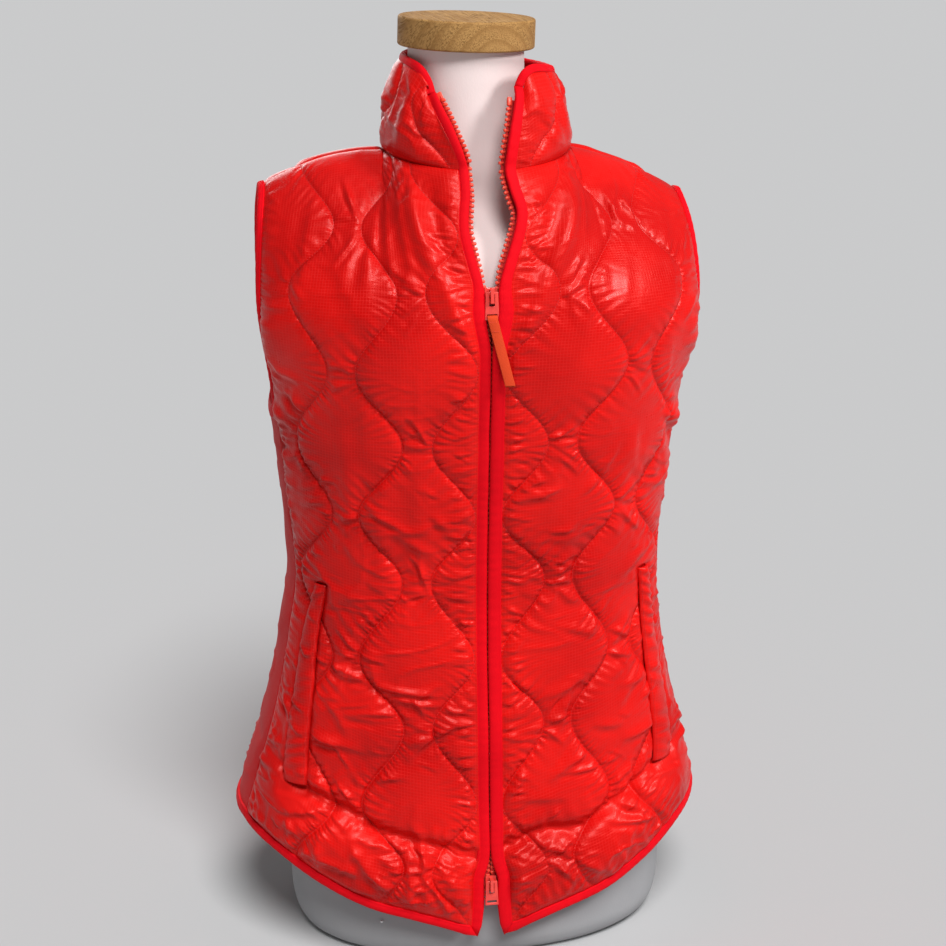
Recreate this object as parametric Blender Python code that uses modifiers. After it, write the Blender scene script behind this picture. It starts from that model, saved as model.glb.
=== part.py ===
"""Quilted puffer vest on a limbless dress form, modelled at real size in metres.

The form stands on its flat underside at z = 0 with its axis on Z. The front of the vest faces -Y
and the wearer's right side is at -X. Tables and helper functions work in millimetres; only
add_object turns millimetres into metres.
"""

import math
from collections import namedtuple

import bmesh
import bpy
import numpy as np
from mathutils import Matrix, Vector

MM = 0.001
OBJECT_NAME = "puffer_vest_on_dress_form"

# Cloth
WALL = 2.4              # shell, lining and flat wadding at a stitch line
SEAM = 0.25             # each piece stops this far short of a seam line
PUFF = 6.5              # height of the fullest quilt cell over its stitch lines
STITCH_FIRST = 29.0     # first quilting line from the centre front, along the cloth
STITCH_STEP = 61.0      # from one quilting line to the next
STITCH_SWING = 18.5     # how far a line swings to either side
FULL_CELL = STITCH_STEP + 2 * STITCH_SWING
LEAST_CELL = 7.0        # a quilting line keeps this far from a side seam
PANEL_EDGE = 9.4        # a front panel starts this far from the binding's free edge line
SIDE_HALF = 34.0        # half the width of a side panel

# Rows and columns of the panels
LOWER_ROWS = 30
UPPER_ROWS = 16

# Dress form
CAP_RADIUS = 55.5
CAP_HEIGHT = 23.4
CAP_BASE = (-2.5, 0.0, 777.3)   # middle of the cap's underside
CAP_TILT = 1.8          # degrees, lower towards the wearer's left
FORM_SEGMENTS = 32

# Closed rings of the vest at stitch level. half is the half width, front and back the depths.
Ring = namedtuple("Ring", "z half front back power shift")
VEST_RINGS = [
    Ring(20, 217, 131, 126, 2.30, -4),
    Ring(60, 214, 129, 124, 2.30, -4),
    Ring(110, 208.5, 124, 120, 2.30, -3.5),
    Ring(160, 196, 117, 114, 2.30, -1.5),
    Ring(226, 179, 112, 104, 2.30, 0),
    Ring(290, 167, 105, 90, 2.30, 0),
    Ring(345, 162.5, 102, 82, 2.30, 3),
    Ring(411, 166.5, 106, 82, 2.30, 3),
    Ring(475, 173, 113, 88, 2.30, 4),
    Ring(560, 180, 121, 94, 2.30, 3),
]
UNDERARM = 476.0        # lowest point of the armhole's panel edge
UNDERARM_RISE = 13.0    # the armhole has risen this much at the side seams
BUST = 580.0            # level of the second row curve of the upper panels
BUST_HALF, BUST_FRONT, BUST_BACK = 190.0, 121.5, 94.0
Armhole = namedtuple("Armhole", "front back depth tip_x tip_z bow")
ARMHOLES = {            # by side: half widths at bust level, and the shoulder's end and bow
    -1: Armhole(177.0, 172.0, 44.0, 168.0, 672.0, 7.0),
    1: Armhole(183.0, 176.0, 44.0, 170.0, 659.0, 4.5),
}
SHOULDER_DEPTH = 4.0
NECKLINE_SHARE = 0.43   # share of a panel's width that ends on the neckline

# Hem line: height of the panels' lower edge by the distance from the centre front or back.
HEM_FRONT = [(0, 41), (25, 51), (60, 62), (100, 73), (150, 95), (190, 113), (240, 125), (290, 128)]
HEM_BACK = [(0, 72), (80, 76), (150, 93), (200, 114), (245, 125), (290, 128)]

# Levels where the first quilting line of a front stands farthest from the zip, then nearest, in turn.
QUILT_TURNS = [20, 40, 101, 155, 226, 284, 353, 411, 473, 536, 600, 645, 688, 735]

# Free front edges. tip is how far the teeth stand from the centre, binding where the binding starts.
Edge = namedtuple("Edge", "z tip_right tip_left binding_right binding_left")
FRONT_EDGES = [
    Edge(20, 6.5, 6.0, 13.0, 10.0),
    Edge(45, 4.6, 4.2, 9.5, 8.5),
    Edge(68, 2.8, 2.8, 7.6, 7.2),
    Edge(78, 2.0, 2.0, 7.2, 7.2),
    Edge(88, 0.2, 0.2, 7.2, 7.2),
    Edge(108, 0.2, 0.2, 1.6, 1.4),
    Edge(140, 0.2, 0.2, 1.2, 1.0),
    Edge(550, 0.2, 0.2, 1.2, 1.0),
    Edge(572, 0.2, 0.2, 4.8, 4.6),
    Edge(586, 0.2, 0.4, 7.0, 7.0),
    Edge(604, 3.9, 3.9, 8.4, 8.6),
    Edge(616, 6.2, 6.6, 11.6, 12.4),
    Edge(630, 9.0, 11.6, 15.0, 17.4),
    Edge(648, 12.0, 17.6, 18.0, 23.6),
    Edge(660, 11.2, 19.4, 17.2, 25.4),
    Edge(676, 8.8, 15.2, 14.8, 21.2),
    Edge(692, 9.0, 12.2, 15.0, 18.2),
    Edge(708, 11.6, 13.4, 17.6, 19.4),
    Edge(724, 16.2, 15.6, 22.2, 21.6),
    Edge(745, 27.6, 19.2, 32.6, 25.2),
    Edge(775, 48.0, 24.0, 52.0, 30.0),
]

# Large folds that show from a step away. Each runs from (v0, z0) to (v1, z1) on a front panel.
Fold = namedtuple("Fold", "side v0 z0 v1 z1 width height")
FOLDS = [
    Fold(-1, 44, 676, 24, 600, 13, 4.0),
    Fold(-1, 24, 600, 13, 560, 10, 2.5),
    Fold(1, 48, 672, 30, 600, 13, 4.0),
    Fold(1, 30, 600, 16, 560, 10, 2.5),
    Fold(-1, 176, 585, 196, 540, 16, 5.0),
    Fold(1, 176, 565, 198, 520, 16, 5.0),
    Fold(-1, 92, 668, 110, 610, 14, 3.0),
    Fold(1, 88, 664, 104, 615, 14, 3.0),
]
HEM_ROLL_HEIGHT = 66.0  # the crease above the hem
HEM_ROLL_DEPTH = 3.0
HEM_BAND_BULGE = 5.0

# Collar rings: base and top
COLLAR_BASE = Ring(692, 75, 82, 70, 2.0, 5)
COLLAR_TOP = Ring(764, 63, 71, 67, 2.0, 6.5)
COLLAR_BULGE = 3.5
COLLAR_ROWS = 7
NECKLINE_RISE_SIDE = 5.0
NECKLINE_RISE_BACK = 14.0
COLLAR_CORNER = {-1: 747.0, 1: 757.0}  # height of the front corners by side
# Height of the collar's upper edge by the signed angle from the centre front.
COLLAR_EDGE = [(-180, 759), (-120, 764), (-90, 764), (-60, 760), (-38, 751), (-26, 747),
               (20, 757), (36, 760), (60, 757), (90, 753), (130, 754), (180, 759)]

# Dress form rings
FORM_RINGS = [
    Ring(0, 148, 95, 92, 2.3, 5),
    Ring(3, 157, 102, 99, 2.3, 5),
    Ring(10, 163.5, 107, 104, 2.3, 5),
    Ring(22, 167.5, 110, 107, 2.3, 5),
    Ring(45, 169, 110, 108, 2.3, 5),
    Ring(90, 168.5, 108, 107, 2.3, 4.5),
    Ring(150, 164, 104, 101, 2.3, 3.5),
    Ring(210, 153, 98, 91, 2.3, 2),
    Ring(270, 137, 90, 78, 2.25, 0),
    Ring(330, 124, 83, 68, 2.2, 0),
    Ring(380, 124, 83, 67, 2.2, 0),
    Ring(430, 134, 90, 70, 2.2, 0),
    Ring(480, 148, 101, 77, 2.2, 0),
    Ring(540, 160, 110, 82, 2.2, 1),
    Ring(585, 165, 106, 81, 2.2, 2),
    Ring(620, 167, 94, 74, 2.1, 2),
    Ring(638, 164, 75.5, 62, 2.0, 0),
    Ring(649, 157, 63, 54, 1.9, -1),
    Ring(657, 143, 56.5, 49, 1.9, -2),
    Ring(665, 121, 54, 46.5, 1.9, -2),
    Ring(674, 97, 53, 45, 1.95, -1),
    Ring(682, 80, 53, 45, 2.0, 0),
    Ring(692, 66, 52, 46, 2.0, 0),
    Ring(705, 56, 50, 46, 2.0, -1),
    Ring(725, 50.2, 48, 46, 2.0, -2),
    Ring(750, 47.6, 47, 46.5, 2.0, -2.5),
    Ring(776.9, 47, 47, 47, 2.0, -2.5),
]

# Zip hardware
CHAIN_HALF = 1.2        # half the depth of the teeth
CHAIN_WIDTH = 3.0
TAPE_THICK = 1.0
TAPE_WIDTH = 13.0
CHAIN_FRONT = -4.2      # front of the teeth and tape, behind the stitch level of the fronts
TOP_STOP = 742.0
SLIDER_WIDTH = 11.0
SLIDER_LENGTH = 13.0
SLIDER_PLATE = 1.5
SLIDER_GAP = 1.1        # between the teeth and each plate
WEDGE_HALF = 0.8
CROWN_HALF = 1.3
CROWN_SPAN = 8.2        # inside length of the crown's arch
CROWN_BAR = 1.4
CROWN_REACH = 9.4       # from the teeth's middle to the inside of the crown's arch
PIVOT_REACH = 7.3       # from the teeth's middle to the tab's axis
PIVOT_DROP = 1.5        # from the top of the arch to the tab's axis
UPPER_SLIDER = 598.0    # middle of the slider
LOWER_SLIDER = 84.0
TAB_WIDTH = 11.5
TAB_LENGTH = 22.0
TAB_THICK = 1.6
TAB_BAR = 1.8
TAB_EYE = (4.4, 9.6)
TAB_SLOT = (8.2, 2.2)
TAB_LEAN = 5.5          # degrees from plumb, where the tab lies on the cloth
PULLER_WIDTH = 8.0
PULLER_LENGTH = 60.0
PULLER_THICK = 1.8
PULLER_SLANT = 14.0     # degrees from plumb, towards the wearer's left

# Pocket welts on the fronts
Welt = namedtuple("Welt", "z inner outer")
WELT_ROWS = [Welt(345, 138, 150), Welt(300, 145, 161), Welt(255, 150, 170), Welt(210, 155, 178),
             Welt(158, 158, 182)]
WELT_LIFT = 5.65        # the band spans the quilt cells this far over the stitch lines
WELT_THICK = 2.2

Finish = namedtuple("Finish", "color roughness metallic")
FINISHES = {
    "quilted_ripstop": Finish((0.72, 0.012, 0.012, 1), 0.30, 0.0),
    "stretch_panel": Finish((0.66, 0.010, 0.016, 1), 0.70, 0.0),
    "knit_binding": Finish((0.80, 0.004, 0.022, 1), 0.75, 0.0),
    "zip_tape": Finish((0.60, 0.030, 0.020, 1), 0.60, 0.0),
    "slider_enamel": Finish((0.72, 0.060, 0.040, 1), 0.35, 0.1),
    "puller_webbing": Finish((0.75, 0.080, 0.020, 1), 0.70, 0.0),
    "form_jersey": Finish((0.62, 0.61, 0.60, 1), 0.85, 0.0),
    "neck_cap_wood": Finish((0.40, 0.22, 0.09, 1), 0.45, 0.0),
}


# ---------------------------------------------------------------- small mathematics

def smooth(x, knots, values):
    """Smooth curve through (knots, values), with slopes from the neighbouring points."""
    knots = np.asarray(knots, float)
    values = np.asarray(values, float)
    x = min(max(x, knots[0]), knots[-1])
    i = int(min(max(np.searchsorted(knots, x) - 1, 0), len(knots) - 2))
    steps = np.diff(values) / np.diff(knots)
    slopes = np.concatenate([steps[:1], 0.5 * (steps[:-1] + steps[1:]), steps[-1:]])
    flat = np.concatenate([[False], steps[:-1] * steps[1:] <= 0, [False]])
    slopes = np.where(flat, 0.0, slopes)
    width = knots[i + 1] - knots[i]
    t = (x - knots[i]) / width
    return (
        (2 * t**3 - 3 * t**2 + 1) * values[i]
        + (t**3 - 2 * t**2 + t) * width * slopes[i]
        + (3 * t**2 - 2 * t**3) * values[i + 1]
        + (t**3 - t**2) * width * slopes[i + 1]
    )


def ring_at(rings, z):
    """The ring of a table at any level."""
    knots = [ring.z for ring in rings]
    return Ring(z, *(smooth(z, knots, [getattr(ring, name) for ring in rings]) for name in Ring._fields[1:]))


def quarter(half, depth, power, samples=48):
    """Points (x, y) from the middle of the front to the side, with their arc lengths."""
    angles = np.linspace(0, math.pi / 2, samples)
    x = half * np.sin(angles) ** (2 / power)
    y = depth * np.cos(angles) ** (2 / power)
    lengths = np.concatenate([[0], np.cumsum(np.hypot(np.diff(x), np.diff(y)))])
    return x, y, lengths


def on_quarter(half, depth, power, arc):
    """Point (x, y) at an arc length from the middle, with y away from the centre."""
    x, y, lengths = quarter(half, depth, power)
    return np.interp(arc, lengths, x), np.interp(arc, lengths, y)


def quarter_length(half, depth, power):
    return quarter(half, depth, power)[2][-1]


def edge_at(side, z, name):
    """Column of FRONT_EDGES at a level, for the wearer's right (side -1) or left (side 1)."""
    column = name + ("_right" if side < 0 else "_left")
    return smooth(z, [row.z for row in FRONT_EDGES], [getattr(row, column) for row in FRONT_EDGES])


def swing(z):
    """1 where the first quilting line stands farthest from the zip, -1 where it is nearest."""
    turns = [math.cos(math.pi * n) for n in range(len(QUILT_TURNS))]
    phase = np.interp(z, QUILT_TURNS, range(len(QUILT_TURNS)))
    return math.cos(math.pi * phase) * turns[0]


def stitch_line(index, z):
    """Distance of a quilting line from the centre front at a level."""
    sign = 1 if index % 2 == 0 else -1
    return STITCH_FIRST + index * STITCH_STEP + sign * STITCH_SWING * swing(z)


def puff(share, width):
    """Height of the padding at a share of the way across a cell of a given width."""
    return PUFF * math.sqrt(min(width / FULL_CELL, 1.0)) * max(0.0, 4 * share * (1 - share)) ** 0.62


# ---------------------------------------------------------------- base surface of the body

def hem_height(table, v):
    return smooth(v, [row[0] for row in table], [row[1] for row in table])


def seam_level(share):
    """Height of the ring where the lower and upper parts of a panel meet."""
    return UNDERARM + UNDERARM_RISE * share**4


def seam_arc(z, back):
    """Distance of the side seam from the centre, along the cloth."""
    ring = ring_at(VEST_RINGS, z)
    depth = ring.back if back else ring.front
    return quarter_length(ring.half, depth, ring.power) - SIDE_HALF


PANEL_REACH = seam_arc(UNDERARM + UNDERARM_RISE, False)
BACK_REACH = seam_arc(UNDERARM + UNDERARM_RISE, True)


def ring_point(z, arc, side, back):
    """Point of the body's ring at a level and a distance from the centre front or back."""
    ring = ring_at(VEST_RINGS, z)
    depth = ring.back if back else ring.front
    x, y = on_quarter(ring.half, depth, ring.power, arc)
    return np.array([side * x + ring.shift * x / ring.half, y if back else -y, z])


def bust_point(share, side, back, start):
    """Point of the row curve at bust level, from the panel's centre edge to the armhole."""
    depth = BUST_BACK if back else BUST_FRONT
    armhole = ARMHOLES[side]
    x_end = armhole.back if back else armhole.front
    x, y, lengths = quarter(BUST_HALF, depth, 2.3)
    last = np.interp(x_end, x, lengths)
    arc = start + (last - start) * share
    point_x, point_y = np.interp(arc, lengths, x), np.interp(arc, lengths, y)
    pull = armhole.depth - np.interp(last, lengths, y)
    point_y += pull * share**3
    return np.array([side * point_x + 2 * point_x / BUST_HALF, point_y if back else -point_y, BUST])


def neckline(angle, side):
    """Point of the neckline. The angle runs from the centre front (0) to the centre back (180)."""
    turn = math.radians(angle)
    ring = COLLAR_BASE
    depth = ring.front if angle < 90 else ring.back
    rise = NECKLINE_RISE_SIDE * math.sin(turn) ** 2
    if angle > 90:
        rise += NECKLINE_RISE_BACK * math.cos(turn) ** 2
    return np.array([
        ring.shift + side * ring.half * math.sin(turn),
        -depth * math.cos(turn),
        ring.z - 2.0 + rise,
    ])


def top_point(share, side, first_angle):
    """Point of a panel's upper edge: the neckline, then the shoulder seam."""
    if share < NECKLINE_SHARE:
        part = share / NECKLINE_SHARE
        return neckline(first_angle + (90.0 - first_angle) * part, side)
    part = (share - NECKLINE_SHARE) / (1 - NECKLINE_SHARE)
    armhole = ARMHOLES[side]
    neck = neckline(90.0, side)
    tip = np.array([2 + side * armhole.tip_x, SHOULDER_DEPTH, armhole.tip_z])
    bow = np.array([0.0, 0.0, armhole.bow * 4 * part * (1 - part)])
    return neck + (tip - neck) * part + bow


def end_direction(share, back):
    """Direction in which the cloth reaches its upper edge, with its length."""
    over = min(1.0, share / NECKLINE_SHARE)
    way = -1 if back else 1
    lean = 60 + 45 * over
    rise = 78 * (1 - over) + 10 * over
    return np.array([0.0, way * lean, rise])


def upper_point(share, t, side, back, start_arc):
    """Point of the upper part of a panel; t runs from the underarm ring (0) to the upper edge (1)."""
    level = seam_level(share)
    last = BACK_REACH if back else PANEL_REACH
    arc = start_arc + (last - start_arc) * share
    below = ring_point(level, arc, side, back)
    shift = 0.0 if back else edge_at(side, BUST, "binding") - 1.0
    middle = bust_point(share, side, back, start_arc + shift)
    angle = 180.0 if back else collar_limit(side, 0.0)
    above = top_point(share, side, angle)
    split = 0.46
    start_way = np.array([0.0, 0.0, 1.0]) * 190
    start_way[1] = (14 if back else -22) * (1 - share**2)
    middle_way = (above - below) * np.array([1.0, 0.55, 1.0])
    end_way = end_direction(share, back)
    if t < split:
        u = t / split
        return hermite(u, below, middle, start_way * split, middle_way * split)
    u = (t - split) / (1 - split)
    return hermite(u, middle, above, middle_way * (1 - split), end_way)


def hermite(u, start, end, start_way, end_way):
    return (
        (2 * u**3 - 3 * u**2 + 1) * start
        + (u**3 - 2 * u**2 + u) * start_way
        + (3 * u**2 - 2 * u**3) * end
        + (u**3 - u**2) * end_way
    )


def panel_point(v, w, side, back):
    """Point of a front or back panel at stitch level.

    v is the distance from the centre along the cloth; w runs from the hem (0) over the underarm (1)
    to the neckline and shoulder (2).
    """
    start = 0.0 if back else PANEL_EDGE
    if w <= 1:
        hem = HEM_BACK if back else HEM_FRONT
        last = BACK_REACH if back else PANEL_REACH
        share = min(max((v - start) / (last - start), 0.0), 1.0)
        z = hem_height(hem, v) + (seam_level(share) - hem_height(hem, v)) * w
        shift = 0.0 if back else (edge_at(side, z, "binding") - 1.0) * max(0.0, 1 - v / last)
        return ring_point(z, v + shift, side, back)
    last = BACK_REACH if back else PANEL_REACH
    share = min(max((v - start) / (last - start), 0.0), 1.0)
    point = upper_point(share, w - 1, side, back, start)
    if not back:
        edge = upper_point(0.0, w - 1, side, back, start)
        wanted = edge_at(side, point[2], "binding") + PANEL_EDGE - 1.0
        point[0] += side * (wanted - side * edge[0]) * (1 - share) ** 3
    return point


def unit(vector):
    return vector / np.linalg.norm(vector)


def panel_normal(v, w, side, back):
    """Outward normal of the panel at stitch level."""
    seam_up = unit(np.array([side * 0.29, 0.0, 1.0]))
    along = panel_point(v + 1.5, w, side, back) - panel_point(max(v - 1.5, 0.0), w, side, back)
    top = min(w + 0.01, 2.0)
    up = panel_point(v, top, side, back) - panel_point(v, max(w - 0.01, 0.0), side, back)
    normal = np.cross(along, up) * side
    normal = unit(-normal if back else normal)
    last = BACK_REACH if back else PANEL_REACH
    over = (v - last * NECKLINE_SHARE) / (last * 0.1)
    if w > 1.75 and over > 0:
        blend = min(over, 1.0) * ((w - 1.75) / 0.25) ** 2
        normal = unit(normal * (1 - blend) + seam_up * blend)
    return normal


def fold_height(v, z, side):
    """Raised height of the large folds of a front panel."""
    height = 0.0
    for fold in FOLDS:
        if fold.side != side:
            continue
        run = np.array([fold.v1 - fold.v0, fold.z1 - fold.z0], float)
        place = np.array([v - fold.v0, z - fold.z0], float)
        share = min(max(float(place @ run) / float(run @ run), 0.0), 1.0)
        off = np.linalg.norm(place - share * run)
        along = 0.35 + 0.65 * math.sin(math.pi * share)
        height += fold.height * along * math.exp(-((off / fold.width) ** 2))
    return height


def hem_roll(above_hem):
    """Crease above the hem and the full band under it."""
    crease = -HEM_ROLL_DEPTH * math.exp(-(((above_hem - HEM_ROLL_HEIGHT) / 9) ** 2))
    band = HEM_BAND_BULGE * math.exp(-(((above_hem - 0.5 * HEM_ROLL_HEIGHT) / 20) ** 2))
    return crease + band


# ---------------------------------------------------------------- meshes

def add_object(name, points, faces, finish, collection):
    """A closed mesh object from points in millimetres."""
    mesh = bpy.data.meshes.new(name)
    mesh.from_pydata([tuple(float(value) * MM for value in point) for point in points], [], faces)
    build = bmesh.new()
    build.from_mesh(mesh)
    bmesh.ops.remove_doubles(build, verts=build.verts, dist=1e-6)
    bmesh.ops.recalc_face_normals(build, faces=build.faces)
    build.to_mesh(mesh)
    build.free()
    mesh.shade_smooth()
    mesh.set_sharp_from_angle(angle=math.radians(40))
    made = bpy.data.objects.new(name, mesh)
    collection.objects.link(made)
    mesh.materials.append(finish)
    return made


def zip_strip(first, second):
    """Triangles between two open runs of point numbers, in step along both."""
    faces = []
    i = j = 0
    while i < len(first) - 1 or j < len(second) - 1:
        next_i = (i + 1) / (len(first) - 1)
        next_j = (j + 1) / max(len(second) - 1, 1)
        if j == len(second) - 1 or (i < len(first) - 1 and next_i <= next_j):
            faces.append((first[i], first[i + 1], second[j]))
            i += 1
        else:
            faces.append((first[i], second[j + 1], second[j]))
            j += 1
    return faces


def shell(name, outer, inner, finish, collection, row_step=3, column_step=2):
    """A wall between two grids of points in step, closed around its rim.

    The inside keeps every point of its rim, and within it only every row_step-th row and every
    column_step-th column.
    """
    outer = np.asarray(outer)
    inner = np.asarray(inner)
    rows, columns = outer.shape[:2]
    points = list(outer.reshape(-1, 3)) + list(inner.reshape(-1, 3))
    start = rows * columns

    def at(row, column):
        return row * columns + column

    def under(row, column):
        return start + row * columns + column

    faces = [
        (at(r, c), at(r, c + 1), at(r + 1, c + 1), at(r + 1, c))
        for r in range(rows - 1)
        for c in range(columns - 1)
    ]
    last_row, last_column = rows - 1, columns - 1
    rim = [(0, c) for c in range(last_column)] + [(r, last_column) for r in range(last_row)]
    rim += [(last_row, c) for c in range(last_column, 0, -1)] + [(r, 0) for r in range(last_row, 0, -1)]
    for place, following in zip(rim, rim[1:] + rim[:1]):
        faces.append((at(*place), at(*following), under(*following), under(*place)))
    kept_rows = thinned(range(1, last_row), row_step)
    kept_columns = thinned(range(1, last_column), column_step)
    faces += [
        (under(r, c), under(next_r, c), under(next_r, next_c), under(r, next_c))
        for r, next_r in zip(kept_rows[:-1], kept_rows[1:])
        for c, next_c in zip(kept_columns[:-1], kept_columns[1:])
    ]
    for row, kept in ((0, kept_rows[0]), (last_row, kept_rows[-1])):
        faces += zip_strip([under(row, c) for c in range(columns)], [under(kept, c) for c in kept_columns])
    for column, kept in ((0, kept_columns[0]), (last_column, kept_columns[-1])):
        faces += zip_strip([under(r, column) for r in range(rows)], [under(r, kept) for r in kept_rows])
    used = sorted({number for face in faces for number in face})
    renumbered = {number: i for i, number in enumerate(used)}
    faces = [tuple(renumbered[number] for number in face) for face in faces]
    return add_object(name, [points[number] for number in used], faces, finish, collection)


def sweep(name, frames, section, finish, collection):
    """A bar of constant section. Each frame is (point, sideways, outwards); section is (a, b) pairs."""
    count = len(section)
    points = [point + a * sideways + b * outwards for point, sideways, outwards in frames for a, b in section]
    faces = [
        (i * count + k, i * count + (k + 1) % count, (i + 1) * count + (k + 1) % count, (i + 1) * count + k)
        for i in range(len(frames) - 1)
        for k in range(count)
    ]
    faces.append(tuple(range(count)))
    faces.append(tuple((len(frames) - 1) * count + k for k in reversed(range(count))))
    return add_object(name, points, faces, finish, collection)


def closed_sweep(name, frames, section, finish, collection):
    """A bar of constant section around a closed path."""
    count = len(section)
    total = len(frames)
    points = [point + a * sideways + b * outwards for point, sideways, outwards in frames for a, b in section]
    faces = [
        (i * count + k, i * count + (k + 1) % count,
         ((i + 1) % total) * count + (k + 1) % count, ((i + 1) % total) * count + k)
        for i in range(total)
        for k in range(count)
    ]
    return add_object(name, points, faces, finish, collection)


def thinned(indices, step):
    """Every step-th number of a list, always with the first and the last."""
    if len(indices) == 1:
        return list(indices)
    kept = list(indices[:-1:step])
    if indices[-1] - kept[-1] < 2 and len(kept) > 2:
        kept.pop()
    return kept + [indices[-1]]


# ---------------------------------------------------------------- panels

TOP_TRIM = 0.0013       # keeps the upper edge SEAM short of the seam line
ROWS = [i / LOWER_ROWS for i in range(LOWER_ROWS)]
ROWS += [1 + i / UPPER_ROWS for i in range(UPPER_ROWS)] + [2 - TOP_TRIM]


def outer_edge(w, back):
    """Distance of the side seam or armhole edge from the centre, along the cloth, on a row."""
    reach = BACK_REACH if back else PANEL_REACH
    if w >= 1:
        return reach - SEAM
    arc = reach
    for _ in range(4):
        arc = seam_arc(panel_point(arc, w, 1, back)[2], back) - SEAM
    return arc


def cell_columns(bounds, counts):
    """(v, puff) pairs across cells between bounds, each cut into its number of columns."""
    columns = [(bounds[0], 0.0)]
    for first, last, count in zip(bounds[:-1], bounds[1:], counts):
        for i in range(1, count + 1):
            share = i / count
            columns.append((first + (last - first) * share, puff(share, last - first)))
    return columns


def front_columns(w, side):
    """Columns of a front panel's row, in step with its quilting lines."""
    lines = []
    for index in range(3):
        v = STITCH_FIRST + index * STITCH_STEP
        for _ in range(3):
            v = stitch_line(index, panel_point(v, w, side, False)[2])
        lines.append(v)
    return cell_columns([PANEL_EDGE] + lines + [outer_edge(w, False)], [3, 4, 4, 3])


def back_columns(w):
    """Columns of the back panel's row from the wearer's right seam to the left one."""
    reach = outer_edge(w, True)
    lines = []
    for index in range(3):
        v = STITCH_STEP * (index + 0.5)
        for _ in range(3):
            z = panel_point(v, w, 1, True)[2]
            v = STITCH_STEP * (index + 0.5) + (-1) ** index * STITCH_SWING * swing(z)
        lines.append(min(v, reach - LEAST_CELL))
    bounds = [-reach] + [-v for v in reversed(lines)] + lines + [reach]
    return cell_columns(bounds, [3, 4, 4, 4, 4, 4, 3])


def edge_fade(w):
    """Lets the padding and folds run out at the hem and at the upper edge."""
    return min(1.0, w / 0.03) * min(1.0, (2 - w) / 0.10)


def front_panel(side, finish, collection):
    outer, inner = [], []
    for w in ROWS:
        columns = front_columns(w, side)
        fine, plain = [], []
        for column, (v, height) in enumerate(columns):
            point = panel_point(v, w, side, False)
            normal = panel_normal(v, w, side, False)
            form = 0.0
            if 0 < column < len(columns) - 1:
                form = fold_height(v, point[2], side)
            if w <= 1:
                form += hem_roll(point[2] - hem_height(HEM_FRONT, v)) * min(1.0, w / 0.03)
            fine.append(point + normal * (height * edge_fade(w) + form * min(1.0, (2 - w) / 0.1)))
            plain.append(point + normal * (0.7 * form * min(1.0, (2 - w) / 0.1) - WALL))
        outer.append(fine)
        inner.append(plain)
    name = "front_right" if side < 0 else "front_left"
    return shell(name, outer, inner, finish, collection)


def back_panel(finish, collection):
    outer, inner = [], []
    for w in ROWS:
        fine, plain = [], []
        for v, height in back_columns(w):
            side = -1 if v < 0 else 1
            point = panel_point(abs(v), w, side, True)
            normal = panel_normal(abs(v), w, side, True)
            form = 0.0
            if w <= 1:
                form = 0.6 * hem_roll(point[2] - hem_height(HEM_BACK, abs(v))) * min(1.0, w / 0.03)
            fine.append(point + normal * (height * edge_fade(w) + form))
            plain.append(point + normal * (0.7 * form - WALL))
        outer.append(fine)
        inner.append(plain)
    return shell("back", outer, inner, finish, collection)


SIDE_COLUMNS = [-1.0, -0.5, 0.0, 0.5, 1.0]


def side_point(u, w, side):
    """Point of a side panel; u runs from the front seam (-1) to the back seam (1)."""
    front_z = panel_point(outer_edge(w, False) + SEAM, w, side, False)[2]
    back_z = panel_point(outer_edge(w, True) + SEAM, w, side, True)[2]
    z = front_z + (back_z - front_z) * (u + 1) / 2 - UNDERARM_RISE * (1 - u * u) * w**6
    arc = seam_arc(z, u > 0) + SIDE_HALF * (1 - abs(u)) + SEAM * (1 if abs(u) == 1 else 0)
    return ring_point(z, arc, side, u > 0)


def side_normal(u, w, side):
    z = side_point(u, w, side)[2]
    arc = seam_arc(z, u > 0) + SIDE_HALF * (1 - abs(u))
    step = 1.5 if abs(u) > 0.4 else 0.0
    before = ring_point(z, arc - 1.5, side, u > 0)
    after = ring_point(z, arc + step, side, u > 0) if step else ring_point(z, arc - 1.5, side, u <= 0)
    along = after - before
    up = ring_point(z + 3, arc, side, u > 0) - ring_point(z - 3, arc, side, u > 0)
    normal = unit(np.cross(along, up))
    return normal if normal[0] * side > 0 else -normal


def side_panel(side, finish, collection):
    outer, inner = [], []
    rows = ROWS[: LOWER_ROWS] + [1.0]
    for w in rows:
        fine, plain = [], []
        for u in SIDE_COLUMNS:
            point = side_point(u, w, side)
            normal = side_normal(u, w, side)
            hem = hem_height(HEM_FRONT, seam_arc(point[2], False))
            form = (0.6 + 0.4 * abs(u)) * hem_roll(point[2] - hem) * min(1.0, w / 0.03)
            fine.append(point + normal * form)
            plain.append(point + normal * (0.7 * form - WALL))
        outer.append(fine)
        inner.append(plain)
    name = "side_panel_right" if side < 0 else "side_panel_left"
    return shell(name, outer, inner, finish, collection)


# ---------------------------------------------------------------- collar

def collar_point(turn, g):
    """Point of the collar at stitch level.

    turn is the signed angle from the centre front, negative on the wearer's right; g runs from the
    neckline (0) to the upper edge (1).
    """
    side = -1 if turn < 0 else 1
    angle = abs(turn)
    base = neckline(angle, side) + np.array([0.0, 0.0, 2 * SEAM])
    radians = math.radians(angle)
    depth = COLLAR_TOP.front if angle < 90 else COLLAR_TOP.back
    top = np.array([
        COLLAR_TOP.shift + side * COLLAR_TOP.half * math.sin(radians),
        -depth * math.cos(radians),
        smooth(turn, [row[0] for row in COLLAR_EDGE], [row[1] for row in COLLAR_EDGE]),
    ])
    bulge = COLLAR_BULGE * 4 * g * (1 - g)
    outward = np.array([side * math.sin(radians), -math.cos(radians), 0.0])
    return base + (top - base) * g + outward * bulge


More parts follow.
